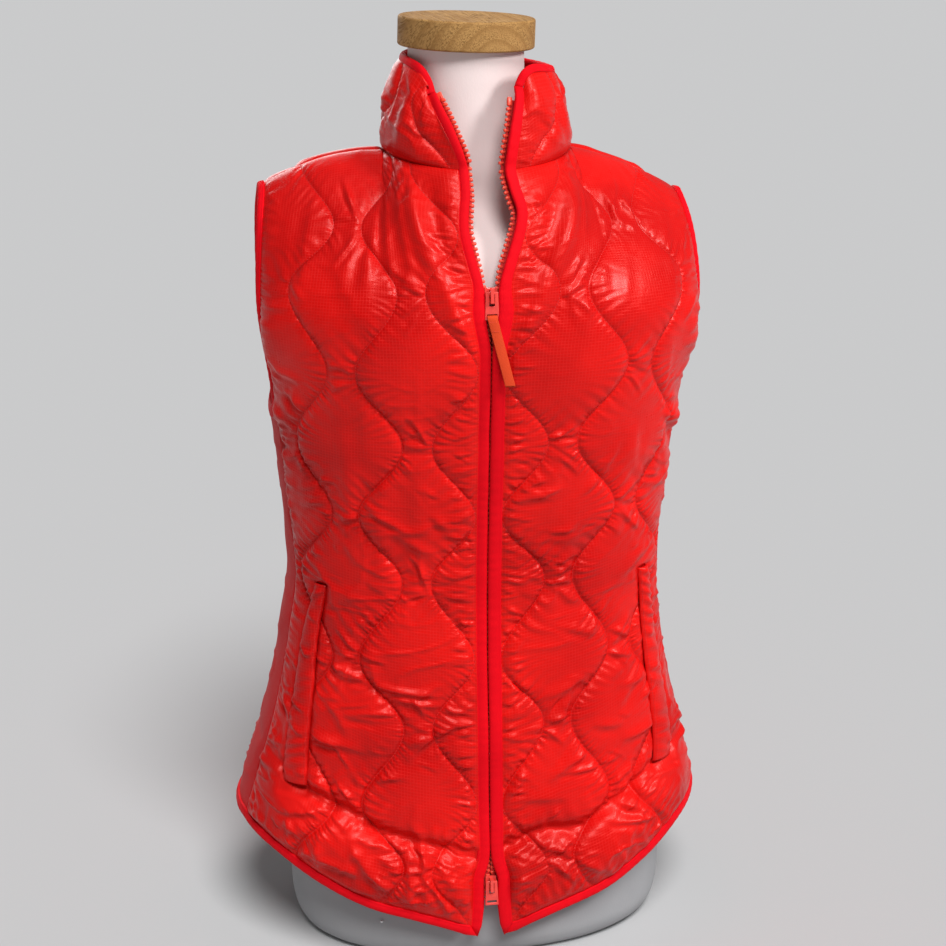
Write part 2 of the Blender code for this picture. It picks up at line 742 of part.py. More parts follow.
def collar_limit(side, g):
    """Angle at which the collar starts beside the free front edge."""
    half = COLLAR_BASE.half + (COLLAR_TOP.half - COLLAR_BASE.half) * g
    shift = COLLAR_BASE.shift + (COLLAR_TOP.shift - COLLAR_BASE.shift) * g
    z = COLLAR_BASE.z + (COLLAR_CORNER[side] - COLLAR_BASE.z) * g
    reach = edge_at(side, z, "binding") + PANEL_EDGE - 1.0
    return math.degrees(math.asin((reach - side * shift) / half))


def collar_normal(turn, g):
    along = collar_point(turn + 1.0, g) - collar_point(turn - 1.0, g)
    up = collar_point(turn, min(g + 0.03, 1.0)) - collar_point(turn, max(g - 0.03, 0.0))
    return unit(np.cross(along, up))


def collar_turns(g):
    """Signed angles and puffs of a collar row, from the wearer's right edge round the back to the left."""
    middle = 72.0
    first = -collar_limit(-1, g)
    last = collar_limit(1, g)
    z = COLLAR_BASE.z + (COLLAR_TOP.z - COLLAR_BASE.z) * g
    lean = math.degrees(STITCH_SWING / middle) * math.cos(math.pi * (z - 688) / 62)
    step = math.degrees(STITCH_STEP / middle)
    right, left = [], []
    angle = 42.0
    for index in range(3):
        sign = -1 if index % 2 == 0 else 1
        right.append(-(angle + sign * lean))
        left.append(angle + sign * lean)
        angle += step
    bounds = [first] + right + [-360 + turn for turn in reversed(left)] + [-360 + last]
    columns = [(bounds[0], 0.0)]
    for begin, end in zip(bounds[:-1], bounds[1:]):
        width = abs(end - begin) * math.pi / 180 * middle
        for i in range(1, 5):
            share = i / 4
            columns.append((begin + (end - begin) * share, 0.8 * puff(share, width)))
    return columns


def wrapped(turn):
    """The same direction as an angle between -180 and 180."""
    return (turn + 180) % 360 - 180


def collar(finish, collection):
    outer, inner = [], []
    for row in range(COLLAR_ROWS + 1):
        g = row / COLLAR_ROWS
        fine, plain = [], []
        for turn, height in collar_turns(g):
            point = collar_point(wrapped(turn), g)
            normal = collar_normal(wrapped(turn), g)
            fade = min(1.0, 4 * g * (1 - g) / 0.45)
            fine.append(point + normal * height * fade)
            plain.append(point - normal * WALL)
        outer.append(fine)
        inner.append(plain)
    return shell("collar", outer, inner, finish, collection)


# ---------------------------------------------------------------- bindings

BINDING_SECTION = [
    (0.7, -3.4), (6.8, -3.4), (8.3, -2.2), (8.3, -0.2), (6.8, 1.0), (0.7, 1.0),
]


def path_frames(points, normals, away, closed=False):
    """Sweep frames along a panel's edge: sideways leaves the panel, outwards is its normal."""
    frames = []
    total = len(points)
    for i in range(total):
        before = points[(i - 1) % total] if closed or i > 0 else points[i]
        after = points[(i + 1) % total] if closed or i < total - 1 else points[i]
        tangent = unit(after - before)
        normal = unit(normals[i])
        sideways = unit(np.cross(tangent, normal))
        if sideways @ away[i] < 0:
            sideways = -sideways
        mitre = 1.0
        if closed or 0 < i < total - 1:
            turn = unit(points[i] - before) @ unit(after - points[i])
            mitre = min(1.42, 1 / math.sqrt(max(0.5, (1 + turn) / 2)))
        frames.append((points[i], sideways * mitre, normal))
    return frames


def edge_column(side):
    """Free edge of a front from its hem to the collar's upper corner: points, normals, away vectors."""
    points, normals = [], []
    for w in ROWS:
        points.append(panel_point(PANEL_EDGE, w, side, False))
        normals.append(panel_normal(PANEL_EDGE, w, side, False))
    for row in range(1, COLLAR_ROWS + 1):
        g = row / COLLAR_ROWS
        turn = side * collar_limit(side, g)
        points.append(collar_point(turn, g))
        normals.append(collar_normal(turn, g))
    normals = [unit(np.sum(normals[max(i - 2, 0):i + 3], axis=0)) for i in range(len(normals))]
    away = [np.array([-side, 0.0, 0.0]) for _ in points]
    return points, normals, away


def collar_edge():
    """Upper edge of the collar from the wearer's right corner round the back to the left."""
    points, normals, away = [], [], []
    for turn, _ in collar_turns(1.0):
        turn = wrapped(turn)
        points.append(collar_point(turn, 1.0))
        normals.append(collar_normal(turn, 1.0))
        away.append(np.array([0.0, 0.0, 1.0]))
    return points, normals, away


def hem_edge():
    """Lower edge of the vest from the wearer's right front corner round the back to the left front."""
    points, normals = [], []

    def front(side):
        for v, _ in front_columns(0.0, side):
            yield panel_point(v, 0.0, side, False), panel_normal(v, 0.0, side, False)

    def flank(side):
        for u in (-0.5, 0.0, 0.5):
            yield side_point(u, 0.0, side), side_normal(u, 0.0, side)

    def rear():
        for v, _ in back_columns(0.0):
            side = -1 if v < 0 else 1
            yield panel_point(abs(v), 0.0, side, True), panel_normal(abs(v), 0.0, side, True)

    chain = list(front(-1)) + list(flank(-1)) + list(rear())
    chain += list(reversed(list(flank(1)))) + list(reversed(list(front(1))))
    for point, normal in chain:
        points.append(point)
        normals.append(normal)
    away = [np.array([0.0, 0.0, -1.0]) for _ in points]
    return points, normals, away


def armhole_edge(side):
    """Closed edge of an armhole: up the front, over the shoulder, down the back, under the arm."""
    points, normals, away = [], [], []
    rows = [w for w in ROWS if w >= 1]
    for back, order in ((False, rows), (True, list(reversed(rows)))):
        reach = (BACK_REACH if back else PANEL_REACH) - SEAM
        for w in order:
            if back and w == rows[-1]:
                continue
            points.append(panel_point(reach, w, side, back))
            normals.append(panel_normal(reach, w, side, back))
            inside = panel_point(reach - 12, w, side, back)
            away.append(points[-1] - inside)
    for u in (0.5, 0.0, -0.5):
        points.append(side_point(u, 1.0, side))
        normals.append(side_normal(u, 1.0, side))
        away.append(np.array([0.0, 0.0, 1.0]))
    return points, normals, away


def end_gap(frames, first=True, last=True):
    """Draws the ends of a bar back from the next one."""
    frames = list(frames)
    if first:
        point, sideways, outwards = frames[0]
        frames[0] = (point + unit(frames[1][0] - point) * SEAM, sideways, outwards)
    if last:
        point, sideways, outwards = frames[-1]
        frames[-1] = (point + unit(frames[-2][0] - point) * SEAM, sideways, outwards)
    return frames


def outline_bindings(finish, collection):
    """One run of binding around hem, front edges and collar, cut at its four corners."""
    right = edge_column(-1)
    top = collar_edge()
    left = edge_column(1)
    hem = hem_edge()
    runs = [right, top, tuple(list(reversed(part)) for part in left),
            tuple(list(reversed(part)) for part in hem)]
    points, normals, away, corners = [], [], [], []
    for run_points, run_normals, run_away in runs:
        corners.append(len(points))
        points += run_points[:-1]
        normals += run_normals[:-1]
        away += run_away[:-1]
    for corner in corners:
        away[corner] = away[corner] + away[corner - 1]
    frames = path_frames(points, normals, away, closed=True)
    names = ["binding_front_right", "binding_collar", "binding_front_left", "binding_hem"]
    ends = corners[1:] + [len(points)]
    for name, begin, end in zip(names, corners, ends):
        part = frames[begin:end] + [frames[end % len(frames)]]
        sweep(name, end_gap(part), BINDING_SECTION, finish, collection)


def armhole_binding(side, finish, collection):
    frames = path_frames(*armhole_edge(side), closed=True)
    name = "binding_armhole_right" if side < 0 else "binding_armhole_left"
    closed_sweep(name, frames, BINDING_SECTION, finish, collection)


# ---------------------------------------------------------------- zip

def spine(side):
    """Free edge of a front from hem to collar corner: arrays of points, normals and ways into the cloth."""
    points, normals, _ = edge_column(side)
    inward = []
    for i, normal in enumerate(normals):
        tangent = points[min(i + 1, len(points) - 1)] - points[max(i - 1, 0)]
        way = unit(np.cross(tangent, normal))
        inward.append(way if way[0] * side > 0 else -way)
    return np.array(points), np.array(normals), np.array(inward)


def along_spine(rows, z):
    """Edge point, normal and way into the cloth at a level."""
    points, normals, inward = rows
    found = [np.array([np.interp(z, points[:, 2], rows_of[:, i]) for i in range(3)])
             for rows_of in (points, normals, inward)]
    return found[0], unit(found[1]), unit(found[2])


def zip_frames(side):
    """Sweep frames along the tips of the teeth, from the hem to the top stop."""
    rows = spine(side)
    levels = rows[0][:, 2]
    heights = [levels[0] - 4.0] + list(levels[2:LOWER_ROWS:2])
    heights += [z for z in levels[LOWER_ROWS:] if z < TOP_STOP - 5.0] + [TOP_STOP]
    frames = []
    for z in heights:
        edge, normal, inward = along_spine(rows, z)
        reach = (side * edge[0] - edge_at(side, z, "tip")) / abs(inward[0])
        frames.append((edge - inward * reach, inward, normal))
    return frames


def zip_half(side, finish, collection):
    """Teeth as one plain bar with their tape."""
    front = CHAIN_FRONT
    back = front - 2 * CHAIN_HALF
    section = [
        (0.0, back), (CHAIN_WIDTH, back), (CHAIN_WIDTH, front - TAPE_THICK),
        (TAPE_WIDTH, front - TAPE_THICK), (TAPE_WIDTH, front), (0.0, front),
    ]
    name = "zip_right" if side < 0 else "zip_left"
    return sweep(name, zip_frames(side), section, finish, collection)


def extruded(name, outline, holes, thickness, finish, collection):
    """A flat plate from an outline with holes, lying in the XY plane and centred in thickness."""
    curve = bpy.data.curves.new(name + "_outline", "CURVE")
    curve.dimensions = "2D"
    curve.fill_mode = "BOTH"
    curve.extrude = thickness * MM / 2
    for loop in [outline] + holes:
        spline = curve.splines.new("POLY")
        spline.points.add(len(loop) - 1)
        for point, (x, z) in zip(spline.points, loop):
            point.co = (x * MM, z * MM, 0.0, 1.0)
        spline.use_cyclic_u = True
    holder = bpy.data.objects.new(name + "_outline", curve)
    bpy.context.scene.collection.objects.link(holder)
    bpy.context.view_layer.update()
    mesh = bpy.data.meshes.new_from_object(holder.evaluated_get(bpy.context.evaluated_depsgraph_get()))
    bpy.data.objects.remove(holder)
    build = bmesh.new()
    build.from_mesh(mesh)
    bmesh.ops.remove_doubles(build, verts=build.verts, dist=1e-6)
    bmesh.ops.recalc_face_normals(build, faces=build.faces)
    build.to_mesh(mesh)
    build.free()
    mesh.name = name
    made = bpy.data.objects.new(name, mesh)
    collection.objects.link(made)
    mesh.materials.clear()
    mesh.materials.append(finish)
    return made


def rounded_rectangle(width, height, radius, steps=3):
    """Outline of a rectangle with round corners, centred on (0, 0)."""
    loop = []
    for corner in range(4):
        middle_x = (width / 2 - radius) * (1 if corner in (0, 3) else -1)
        middle_z = (height / 2 - radius) * (1 if corner in (0, 1) else -1)
        for step in range(steps + 1):
            angle = math.pi / 2 * (corner + step / steps)
            loop.append((middle_x + radius * math.cos(angle), middle_z + radius * math.sin(angle)))
    return loop


def slider(name, z, upward, finish, collection):
    """Two plates round the teeth, the wedge where the teeth part, and a crown that holds the tab.

    It is built upright round the middle of the teeth and leans with the front edge.
    """
    half = SLIDER_WIDTH / 2
    low, high = -SLIDER_LENGTH / 2, SLIDER_LENGTH / 2
    inner = CHAIN_HALF + SLIDER_GAP
    plate = inner + SLIDER_PLATE
    wedge = (high - 4.0, high) if upward else (low, low + 4.0)
    bar = CROWN_REACH + CROWN_BAR
    blocks = [
        (-half, half, -plate, -inner, low, high),
        (-half, half, inner, plate, low, high),
        (-WEDGE_HALF, WEDGE_HALF, -plate, plate, *wedge),
        (-CROWN_HALF, CROWN_HALF, -bar, -inner - 0.5, CROWN_SPAN / 2, CROWN_SPAN / 2 + CROWN_BAR),
        (-CROWN_HALF, CROWN_HALF, -bar, -inner - 0.5, -CROWN_SPAN / 2 - CROWN_BAR, -CROWN_SPAN / 2),
        (-CROWN_HALF, CROWN_HALF, -bar, -CROWN_REACH, -CROWN_SPAN / 2 - CROWN_BAR,
         CROWN_SPAN / 2 + CROWN_BAR),
    ]
    made = joined_boxes(name, blocks, finish, collection)
    edge, normal, _ = along_spine(spine(-1), z)
    teeth = normal * (CHAIN_FRONT - CHAIN_HALF)
    place = Vector((0.0, edge[1] + teeth[1], z + teeth[2])) * MM
    lean = Matrix.Rotation(math.atan2(-normal[2], -normal[1]), 4, "X")
    made.matrix_world = Matrix.Translation(place) @ lean
    pivot = Vector((0.0, -PIVOT_REACH, CROWN_SPAN / 2 - PIVOT_DROP)) * MM
    return made.matrix_world @ pivot


def joined_boxes(name, blocks, finish, collection):
    """One body from overlapping boxes, joined by exact unions."""
    made = None
    for corners in blocks:
        low = np.array(corners[0::2]) * MM
        high = np.array(corners[1::2]) * MM
        bpy.ops.mesh.primitive_cube_add(size=1, location=(low + high) / 2)
        piece = bpy.context.object
        piece.scale = high - low
        bpy.ops.object.transform_apply(location=True, rotation=False, scale=True)
        if made is None:
            made = piece
            continue
        union = made.modifiers.new("union", "BOOLEAN")
        union.operation = "UNION"
        union.object = piece
        bpy.context.view_layer.objects.active = made
        bpy.ops.object.modifier_apply(modifier=union.name)
        bpy.data.objects.remove(piece)
    made.name = name
    made.data.name = name
    for old in list(made.users_collection):
        old.objects.unlink(made)
    collection.objects.link(made)
    made.data.materials.clear()
    made.data.materials.append(finish)
    return made


def pull_tab(name, pivot, finish, collection):
    """Flat tab whose bar lies in the crown, with a long eye under the bar and a slot at its end."""
    holder = bpy.data.objects.new(name + "_axis", None)
    collection.objects.link(holder)
    holder.location = pivot
    holder.rotation_euler = (-math.radians(TAB_LEAN), 0.0, 0.0)
    top = TAB_BAR / 2
    outline = [(x, z + top - TAB_LENGTH / 2) for x, z in rounded_rectangle(TAB_WIDTH, TAB_LENGTH, 2.0)]
    eye_middle = -top - TAB_EYE[1] / 2
    eye = [(x, z + eye_middle) for x, z in reversed(rounded_rectangle(*TAB_EYE, 1.0, 1))]
    slot_middle = top - TAB_LENGTH + 2.2 + TAB_SLOT[1] / 2
    slot = [(x, z + slot_middle) for x, z in reversed(rounded_rectangle(*TAB_SLOT, 0.8, 1))]
    tab = extruded(name, outline, [eye, slot], TAB_THICK, finish, collection)
    tab.parent = holder
    tab.matrix_local = Matrix.Rotation(math.radians(90), 4, "X")
    return holder


def puller(holder, finish, collection):
    """Webbing strip hanging from the upper tab's slot."""
    outline = rounded_rectangle(PULLER_WIDTH, PULLER_LENGTH, 0.6, 1)
    strip = extruded("puller_strip", outline, [], PULLER_THICK, finish, collection)
    strip.parent = holder
    drop = TAB_BAR / 2 - TAB_LENGTH + 3.2
    forward = -(TAB_THICK + PULLER_THICK) / 2 - SEAM
    hang = Matrix.Translation(Vector((0.0, forward, drop)) * MM)
    lean = Matrix.Rotation(math.radians(-PULLER_SLANT), 4, "Y")
    centre = Matrix.Translation(Vector((0.0, 0.0, 3.0 - PULLER_LENGTH / 2)) * MM)
    strip.matrix_local = hang @ lean @ centre @ Matrix.Rotation(math.radians(90), 4, "X")
    return strip


# ---------------------------------------------------------------- pocket welts

def welt_surface(v, z, side):
    """Point of a front with its hem band, at a distance from the centre and a level, and its normal."""
    low = hem_height(HEM_FRONT, v)
    share = min(max((v - PANEL_EDGE) / (PANEL_REACH - PANEL_EDGE), 0.0), 1.0)
    w = (z - low) / (seam_level(share) - low)
    normal = panel_normal(v, w, side, False)
    return panel_point(v, w, side, False) + normal * max(hem_roll(z - low), 0.0), normal


def pocket_welt(side, finish, collection):
    outer, inner = [], []
    levels = np.linspace(WELT_ROWS[0].z, WELT_ROWS[-1].z, 13)
    knots = [row.z for row in reversed(WELT_ROWS)]
    for z in reversed(levels):
        near = smooth(z, knots, [row.inner for row in reversed(WELT_ROWS)])
        far = smooth(z, knots, [row.outer for row in reversed(WELT_ROWS)])
        fine, plain = [], []
        for share in (0.0, 0.5, 1.0):
            point, normal = welt_surface(near + (far - near) * share, z, side)
            fine.append(point + normal * (WELT_LIFT + WELT_THICK))
            plain.append(point + normal * WELT_LIFT)
        outer.append(fine)
        inner.append(plain)
    name = "pocket_welt_right" if side < 0 else "pocket_welt_left"
    return shell(name, outer, inner, finish, collection, 1, 1)


# ---------------------------------------------------------------- dress form

def dress_form(finish, collection):
    """Smooth torso and neck turned out of rings, closed flat underneath and on top."""
    heights = [ring.z for ring in FORM_RINGS]
    levels = []
    for low, high in zip(heights[:-1], heights[1:]):
        levels.append(low)
        if high - low > 45:
            levels.append((low + high) / 2)
    levels.append(heights[-1])
    points = []
    for z in levels:
        ring = ring_at(FORM_RINGS, z)
        for i in range(FORM_SEGMENTS):
            angle = 2 * math.pi * i / FORM_SEGMENTS
            s, c = math.sin(angle), math.cos(angle)
            x = ring.half * math.copysign(abs(s) ** (2 / ring.power), s)
            depth = ring.front if c > 0 else ring.back
            y = -depth * math.copysign(abs(c) ** (2 / ring.power), c)
            tilt = math.tan(math.radians(CAP_TILT)) * x if z == heights[-1] else 0.0
            points.append((ring.shift + x, y, z - tilt))
    count = FORM_SEGMENTS
    faces = [
        (k * count + i, k * count + (i + 1) % count, (k + 1) * count + (i + 1) % count, (k + 1) * count + i)
        for k in range(len(levels) - 1)
        for i in range(count)
    ]
    faces.append(tuple(reversed(range(count))))
    faces.append(tuple((len(levels) - 1) * count + i for i in range(count)))
    return add_object("form_body", points, faces, finish, collection)


def neck_cap(finish, collection):
    """Turned wooden disc with small rounded edges."""
    edge = 1.6
    profile = [(CAP_RADIUS - edge, CAP_HEIGHT), (CAP_RADIUS - 0.4, CAP_HEIGHT - 0.5),
               (CAP_RADIUS, CAP_HEIGHT - edge), (CAP_RADIUS, edge), (CAP_RADIUS - 0.4, 0.5),
               (CAP_RADIUS - edge, 0.0)]
    profile = [(0.0, CAP_HEIGHT)] + profile + [(0.0, 0.0)]
    mesh = bpy.data.meshes.new("form_neck_cap")
    edges = [(i, i + 1) for i in range(len(profile) - 1)]
    mesh.from_pydata([(x * MM, 0.0, z * MM) for x, z in profile], edges, [])
    made = bpy.data.objects.new("form_neck_cap", mesh)
    made.location = Vector(CAP_BASE) * MM
    made.rotation_euler = (0.0, math.radians(CAP_TILT), 0.0)
    collection.objects.link(made)
    mesh.materials.append(finish)
    turned = made.modifiers.new("turned", "SCREW")
    turned.steps = turned.render_steps = 36
    turned.use_merge_vertices = True
    turned.merge_threshold = 0.00005
    turned.use_smooth_shade = True
    return made


# ---------------------------------------------------------------- assembly

def materials():
    made = {}
    for name, look in FINISHES.items():
        finish = bpy.data.materials.new(name)
        finish.use_nodes = True
        shader = finish.node_tree.nodes["Principled BSDF"]
        shader.inputs["Base Color"].default_value = look.color
        shader.inputs["Roughness"].default_value = look.roughness
        shader.inputs["Metallic"].default_value = look.metallic
        finish.diffuse_color = look.color
        made[name] = finish
    return made


def main():
    for leftover in list(bpy.data.objects):
        bpy.data.objects.remove(leftover)
    collection = bpy.data.collections.new(OBJECT_NAME)
    bpy.context.scene.collection.children.link(collection)
    looks = materials()

    dress_form(looks["form_jersey"], collection)
    neck_cap(looks["neck_cap_wood"], collection)
    for side in (-1, 1):
        front_panel(side, looks["quilted_ripstop"], collection)
        side_panel(side, looks["stretch_panel"], collection)
        pocket_welt(side, looks["quilted_ripstop"], collection)
        armhole_binding(side, looks["knit_binding"], collection)
        zip_half(side, looks["zip_tape"], collection)
    back_panel(looks["quilted_ripstop"], collection)
    collar(looks["quilted_ripstop"], collection)
    outline_bindings(looks["knit_binding"], collection)

    upper_pivot = slider("slider_upper", UPPER_SLIDER, True, looks["slider_enamel"], collection)
    lower_pivot = slider("slider_lower", LOWER_SLIDER, False, looks["slider_enamel"], collection)
    upper_axis = pull_tab("pull_tab_upper", upper_pivot, looks["slider_enamel"], collection)
    pull_tab("pull_tab_lower", lower_pivot, looks["slider_enamel"], collection)
    puller(upper_axis, looks["puller_webbing"], collection)


main()
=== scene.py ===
"""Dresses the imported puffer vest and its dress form.

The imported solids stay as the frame. Every piece of cloth, the zip, its hardware, the form and the
wooden cap are made again here in fine detail on the same sizes, with woven, knitted, moulded and
turned finishes, a plain floor, soft light and a camera.

Tables and shape functions work in millimetres in the part's own frame: +Z is up, the front of the
vest faces -Y and the wearer's right side is at -X. Meshes are made in metres.
"""

import logging
import math
from dataclasses import dataclass
from enum import Enum

import bmesh
import bpy
import numpy as np
from mathutils import Matrix, Vector


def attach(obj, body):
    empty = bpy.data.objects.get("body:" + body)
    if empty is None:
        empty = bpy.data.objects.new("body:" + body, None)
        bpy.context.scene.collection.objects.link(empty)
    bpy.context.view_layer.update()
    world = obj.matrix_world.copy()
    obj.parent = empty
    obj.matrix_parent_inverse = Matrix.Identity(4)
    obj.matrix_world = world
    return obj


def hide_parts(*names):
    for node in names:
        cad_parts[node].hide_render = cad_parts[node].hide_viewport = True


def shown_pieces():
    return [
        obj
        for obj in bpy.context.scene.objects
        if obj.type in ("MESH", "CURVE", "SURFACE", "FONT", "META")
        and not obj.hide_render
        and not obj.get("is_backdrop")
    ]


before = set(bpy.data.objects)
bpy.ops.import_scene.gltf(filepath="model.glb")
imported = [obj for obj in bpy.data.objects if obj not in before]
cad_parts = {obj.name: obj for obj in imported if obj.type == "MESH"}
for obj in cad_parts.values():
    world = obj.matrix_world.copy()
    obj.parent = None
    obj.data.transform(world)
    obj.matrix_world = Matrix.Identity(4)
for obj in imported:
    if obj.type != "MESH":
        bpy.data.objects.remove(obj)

Array = np.ndarray
Socket = bpy.types.NodeSocket

LOG = logging.getLogger("puffer_vest")
MM = 0.001
UV_UNIT = 100.0         # millimetres of cloth in one unit of the UV map
ROOT = "vest_on_form"


class Side(Enum):
    """The wearer's side of a paired piece; the value is the sign of its X."""

    RIGHT = -1
    LEFT = 1

    def named(self, stem: str, end: str = "") -> str:
        """The name of a paired piece on this side."""
        return f"{stem}_{self.name.lower()}{end}"


class Slot(Enum):
    """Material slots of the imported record."""

    RIPSTOP = "quilted_ripstop"
    STRETCH = "stretch_panel"
    BINDING = "knit_binding"
    ZIP = "zip_chain"
    ENAMEL = "slider_enamel"
    WEBBING = "puller_webbing"
    JERSEY = "form_jersey"
    WOOD = "neck_cap_wood"


# ---------------------------------------------------------------- numbers and noise


def curve_through(x: Array, knots: list, values: list) -> Array:
    """Smooth curve through a table, flat where the table turns.

    Args:
        x: Where to read the curve.
        knots: Rising places of the table's rows.
        values: The table's values.

    Returns:
        The curve's values, in the shape of x.
    """
    knots = np.asarray(knots, float)
    values = np.asarray(values, float)
    x = np.clip(x, knots[0], knots[-1])
    i = np.clip(np.searchsorted(knots, x) - 1, 0, len(knots) - 2)
    steps = np.diff(values) / np.diff(knots)
    slopes = np.concatenate([steps[:1], 0.5 * (steps[:-1] + steps[1:]), steps[-1:]])
    flat = np.concatenate([[False], steps[:-1] * steps[1:] <= 0, [False]])
    slopes = np.where(flat, 0.0, slopes)
    width = knots[i + 1] - knots[i]
    t = (x - knots[i]) / width
    return (
        (2 * t**3 - 3 * t**2 + 1) * values[i]
        + (t**3 - 2 * t**2 + t) * width * slopes[i]
        + (3 * t**2 - 2 * t**3) * values[i + 1]
        + (t**3 - t**2) * width * slopes[i + 1]
    )


def units(vectors: Array) -> Array:
    """Vectors brought to length 1 along their last axis."""
    return vectors / np.maximum(np.linalg.norm(vectors, axis=-1, keepdims=True), 1e-9)


def wander(s: Array, seed: int) -> Array:
    """Smooth uneven values between -1 and 1 along a line.

    Args:
        s: Place along the line; the values change over a step of about 1.
        seed: Picks the values.

    Returns:
        The values, in the shape of s.
    """
    table = np.random.default_rng(seed).uniform(-1, 1, 257)
    cell = np.floor(s).astype(int)
    t = s - cell
    t = t * t * (3 - 2 * t)
    return table[cell % 257] * (1 - t) + table[(cell + 1) % 257] * t


def patches(x: Array, y: Array, seed: int) -> Array:
    """Smooth uneven values between -1 and 1 over a surface.

    Args:
        x: First place; the values change over a step of about 1.
        y: Second place.
        seed: Picks the values.

    Returns:
        The values, in the shape of x.
    """
    table = np.random.default_rng(seed).uniform(-1, 1, (128, 128))
    i, j = np.floor(x).astype(int), np.floor(y).astype(int)
    s, t = x - i, y - j
    s, t = s * s * (3 - 2 * s), t * t * (3 - 2 * t)
    i, j = i % 128, j % 128
    k, m = (i + 1) % 128, (j + 1) % 128
    return (table[i, j] * (1 - s) + table[k, j] * s) * (1 - t) + (table[i, m] * (1 - s) + table[k, m] * s) * t


def ripples(s: Array, period: float, seed: int) -> Array:
    """Uneven gathers along a seam.

    Args:
        s: Place along the seam.
        period: Usual distance from one ridge to the next.
        seed: Picks the unevenness.

    Returns:
        Heights between about -1 and 1.
    """
    drift = wander(s / (2.6 * period), seed)
    force = 0.55 + 0.45 * wander(s / (1.9 * period), seed + 1)
    return np.sin(2 * math.pi * (s / period + 0.75 * drift)) * force


def near(distance: Array, reach: float) -> Array:
    """Rises from 0 at a seam to 1 away from it."""
    return 1 - np.exp(-np.maximum(distance, 0.0) / reach)


def bump_at(distance: Array, width: float) -> Array:
    """1 at the middle of a fold, falling off to its sides."""
    return np.exp(-((distance / width) ** 2))


def run_along(points: Array) -> Array:
    """Distance of each point of a path from its first one, along the path."""
    return np.concatenate([[0], np.cumsum(np.linalg.norm(np.diff(points, axis=0), axis=1))])


def read_along(places: Array, run: Array, rows: Array) -> Array:
    """Rows of vectors read at places between them, by the place of each row."""
    return np.stack([np.interp(places, run, column) for column in rows.T], axis=-1)


def softened(rows: Array, times: int) -> Array:
    """A copy smoothed along its first axis, its first and last row kept."""
    rows = rows.copy()
    for _ in range(times):
        rows[1:-1] = 0.25 * rows[:-2] + 0.5 * rows[1:-1] + 0.25 * rows[2:]
    return rows


def cloth_map(across: Array, along: Array, shape: tuple) -> Array:
    """Cloth millimetres of a grid from its places across and along."""
    return np.stack([np.broadcast_to(across, shape), np.broadcast_to(along, shape)], axis=-1)


def column(rows: tuple, index: int) -> list:
    """One column of a table."""
    return [row[index] for row in rows]


# ---------------------------------------------------------------- shape of the vest


@dataclass(frozen=True)
class Ring:
    """A closed ring of a body, with its front and back depths from the centre."""

    z: float
    half: float
    front: float
    back: float
    power: float
    shift: float


def ring_sizes(rings: tuple, z: Array) -> dict:
    """Sizes of a body's ring at any level, by name."""
    knots = [ring.z for ring in rings]
    names = ("half", "front", "back", "power", "shift")
    return {name: curve_through(z, knots, [getattr(ring, name) for ring in rings]) for name in names}


@dataclass(frozen=True)
class Armhole:
    """Half widths at bust level, how far the side is drawn back, and the shoulder's end and bow."""

    front: float
    back: float
    depth: float
    tip_x: float
    tip_z: float
    bow: float


@dataclass(frozen=True)
class Crease:
    """A short sharp crease: its middle, its lean in degrees, its length, width, height and bend."""

    v: float
    z: float
    lean: float
    length: float
    width: float
    height: float
    bend: float


@dataclass(frozen=True)
class Fold:
    """A fold of a front panel from (v0, z0) to (v1, z1); lean makes its outer flank the steeper."""

    v0: float
    z0: float
    v1: float
    z1: float
    width: float
    height: float
    lean: float = 0.0


class QuarterRings:
    """Angles on the quarter rings of one face of the vest, by level and share of their length."""

    def __init__(self, rings: tuple, back: bool) -> None:
        """Reads the rings at close levels.

        Args:
            rings: The vest's rings.
            back: Whether the back quarter is read instead of the front one.
        """
        self.levels = np.arange(0.0, 603.0, 3.0)
        self.shares = np.linspace(0, 1, 201)
        angles = np.linspace(0, math.pi / 2, 321)
        ring = ring_sizes(rings, self.levels)
        depth = ring["back"] if back else ring["front"]
        x = ring["half"][:, None] * np.sin(angles) ** (2 / ring["power"][:, None])
        y = depth[:, None] * np.cos(angles) ** (2 / ring["power"][:, None])
        steps = np.hypot(np.diff(x, axis=1), np.diff(y, axis=1))
        lengths = np.concatenate([np.zeros((len(x), 1)), np.cumsum(steps, axis=1)], axis=1)
        self.length = lengths[:, -1]
        self.angle = np.array([np.interp(self.shares * run[-1], run, angles) for run in lengths])

    def length_at(self, z: Array) -> Array:
        """Length of the quarter ring at a level."""
        return np.interp(z, self.levels, self.length)

    def angle_at(self, z: Array, share: Array) -> Array:
        """Angle at a level and a share of the quarter's length.

        Args:
            z: Levels.
            share: Shares of the length, from 0 at the middle to 1 at the side.

        Returns:
            Angles from 0 to a quarter turn.
        """
        row = np.clip((z - self.levels[0]) / 3.0, 0, len(self.levels) - 1.001)
        column = np.clip(share, 0, 1) * (len(self.shares) - 1)
        i = row.astype(int)
        j = np.minimum(column.astype(int), len(self.shares) - 2)
        s, t = row - i, column - j
        table = self.angle
        low = table[i, j] * (1 - t) + table[i, j + 1] * t
        high = table[i + 1, j] * (1 - t) + table[i + 1, j + 1] * t
        return low * (1 - s) + high * s


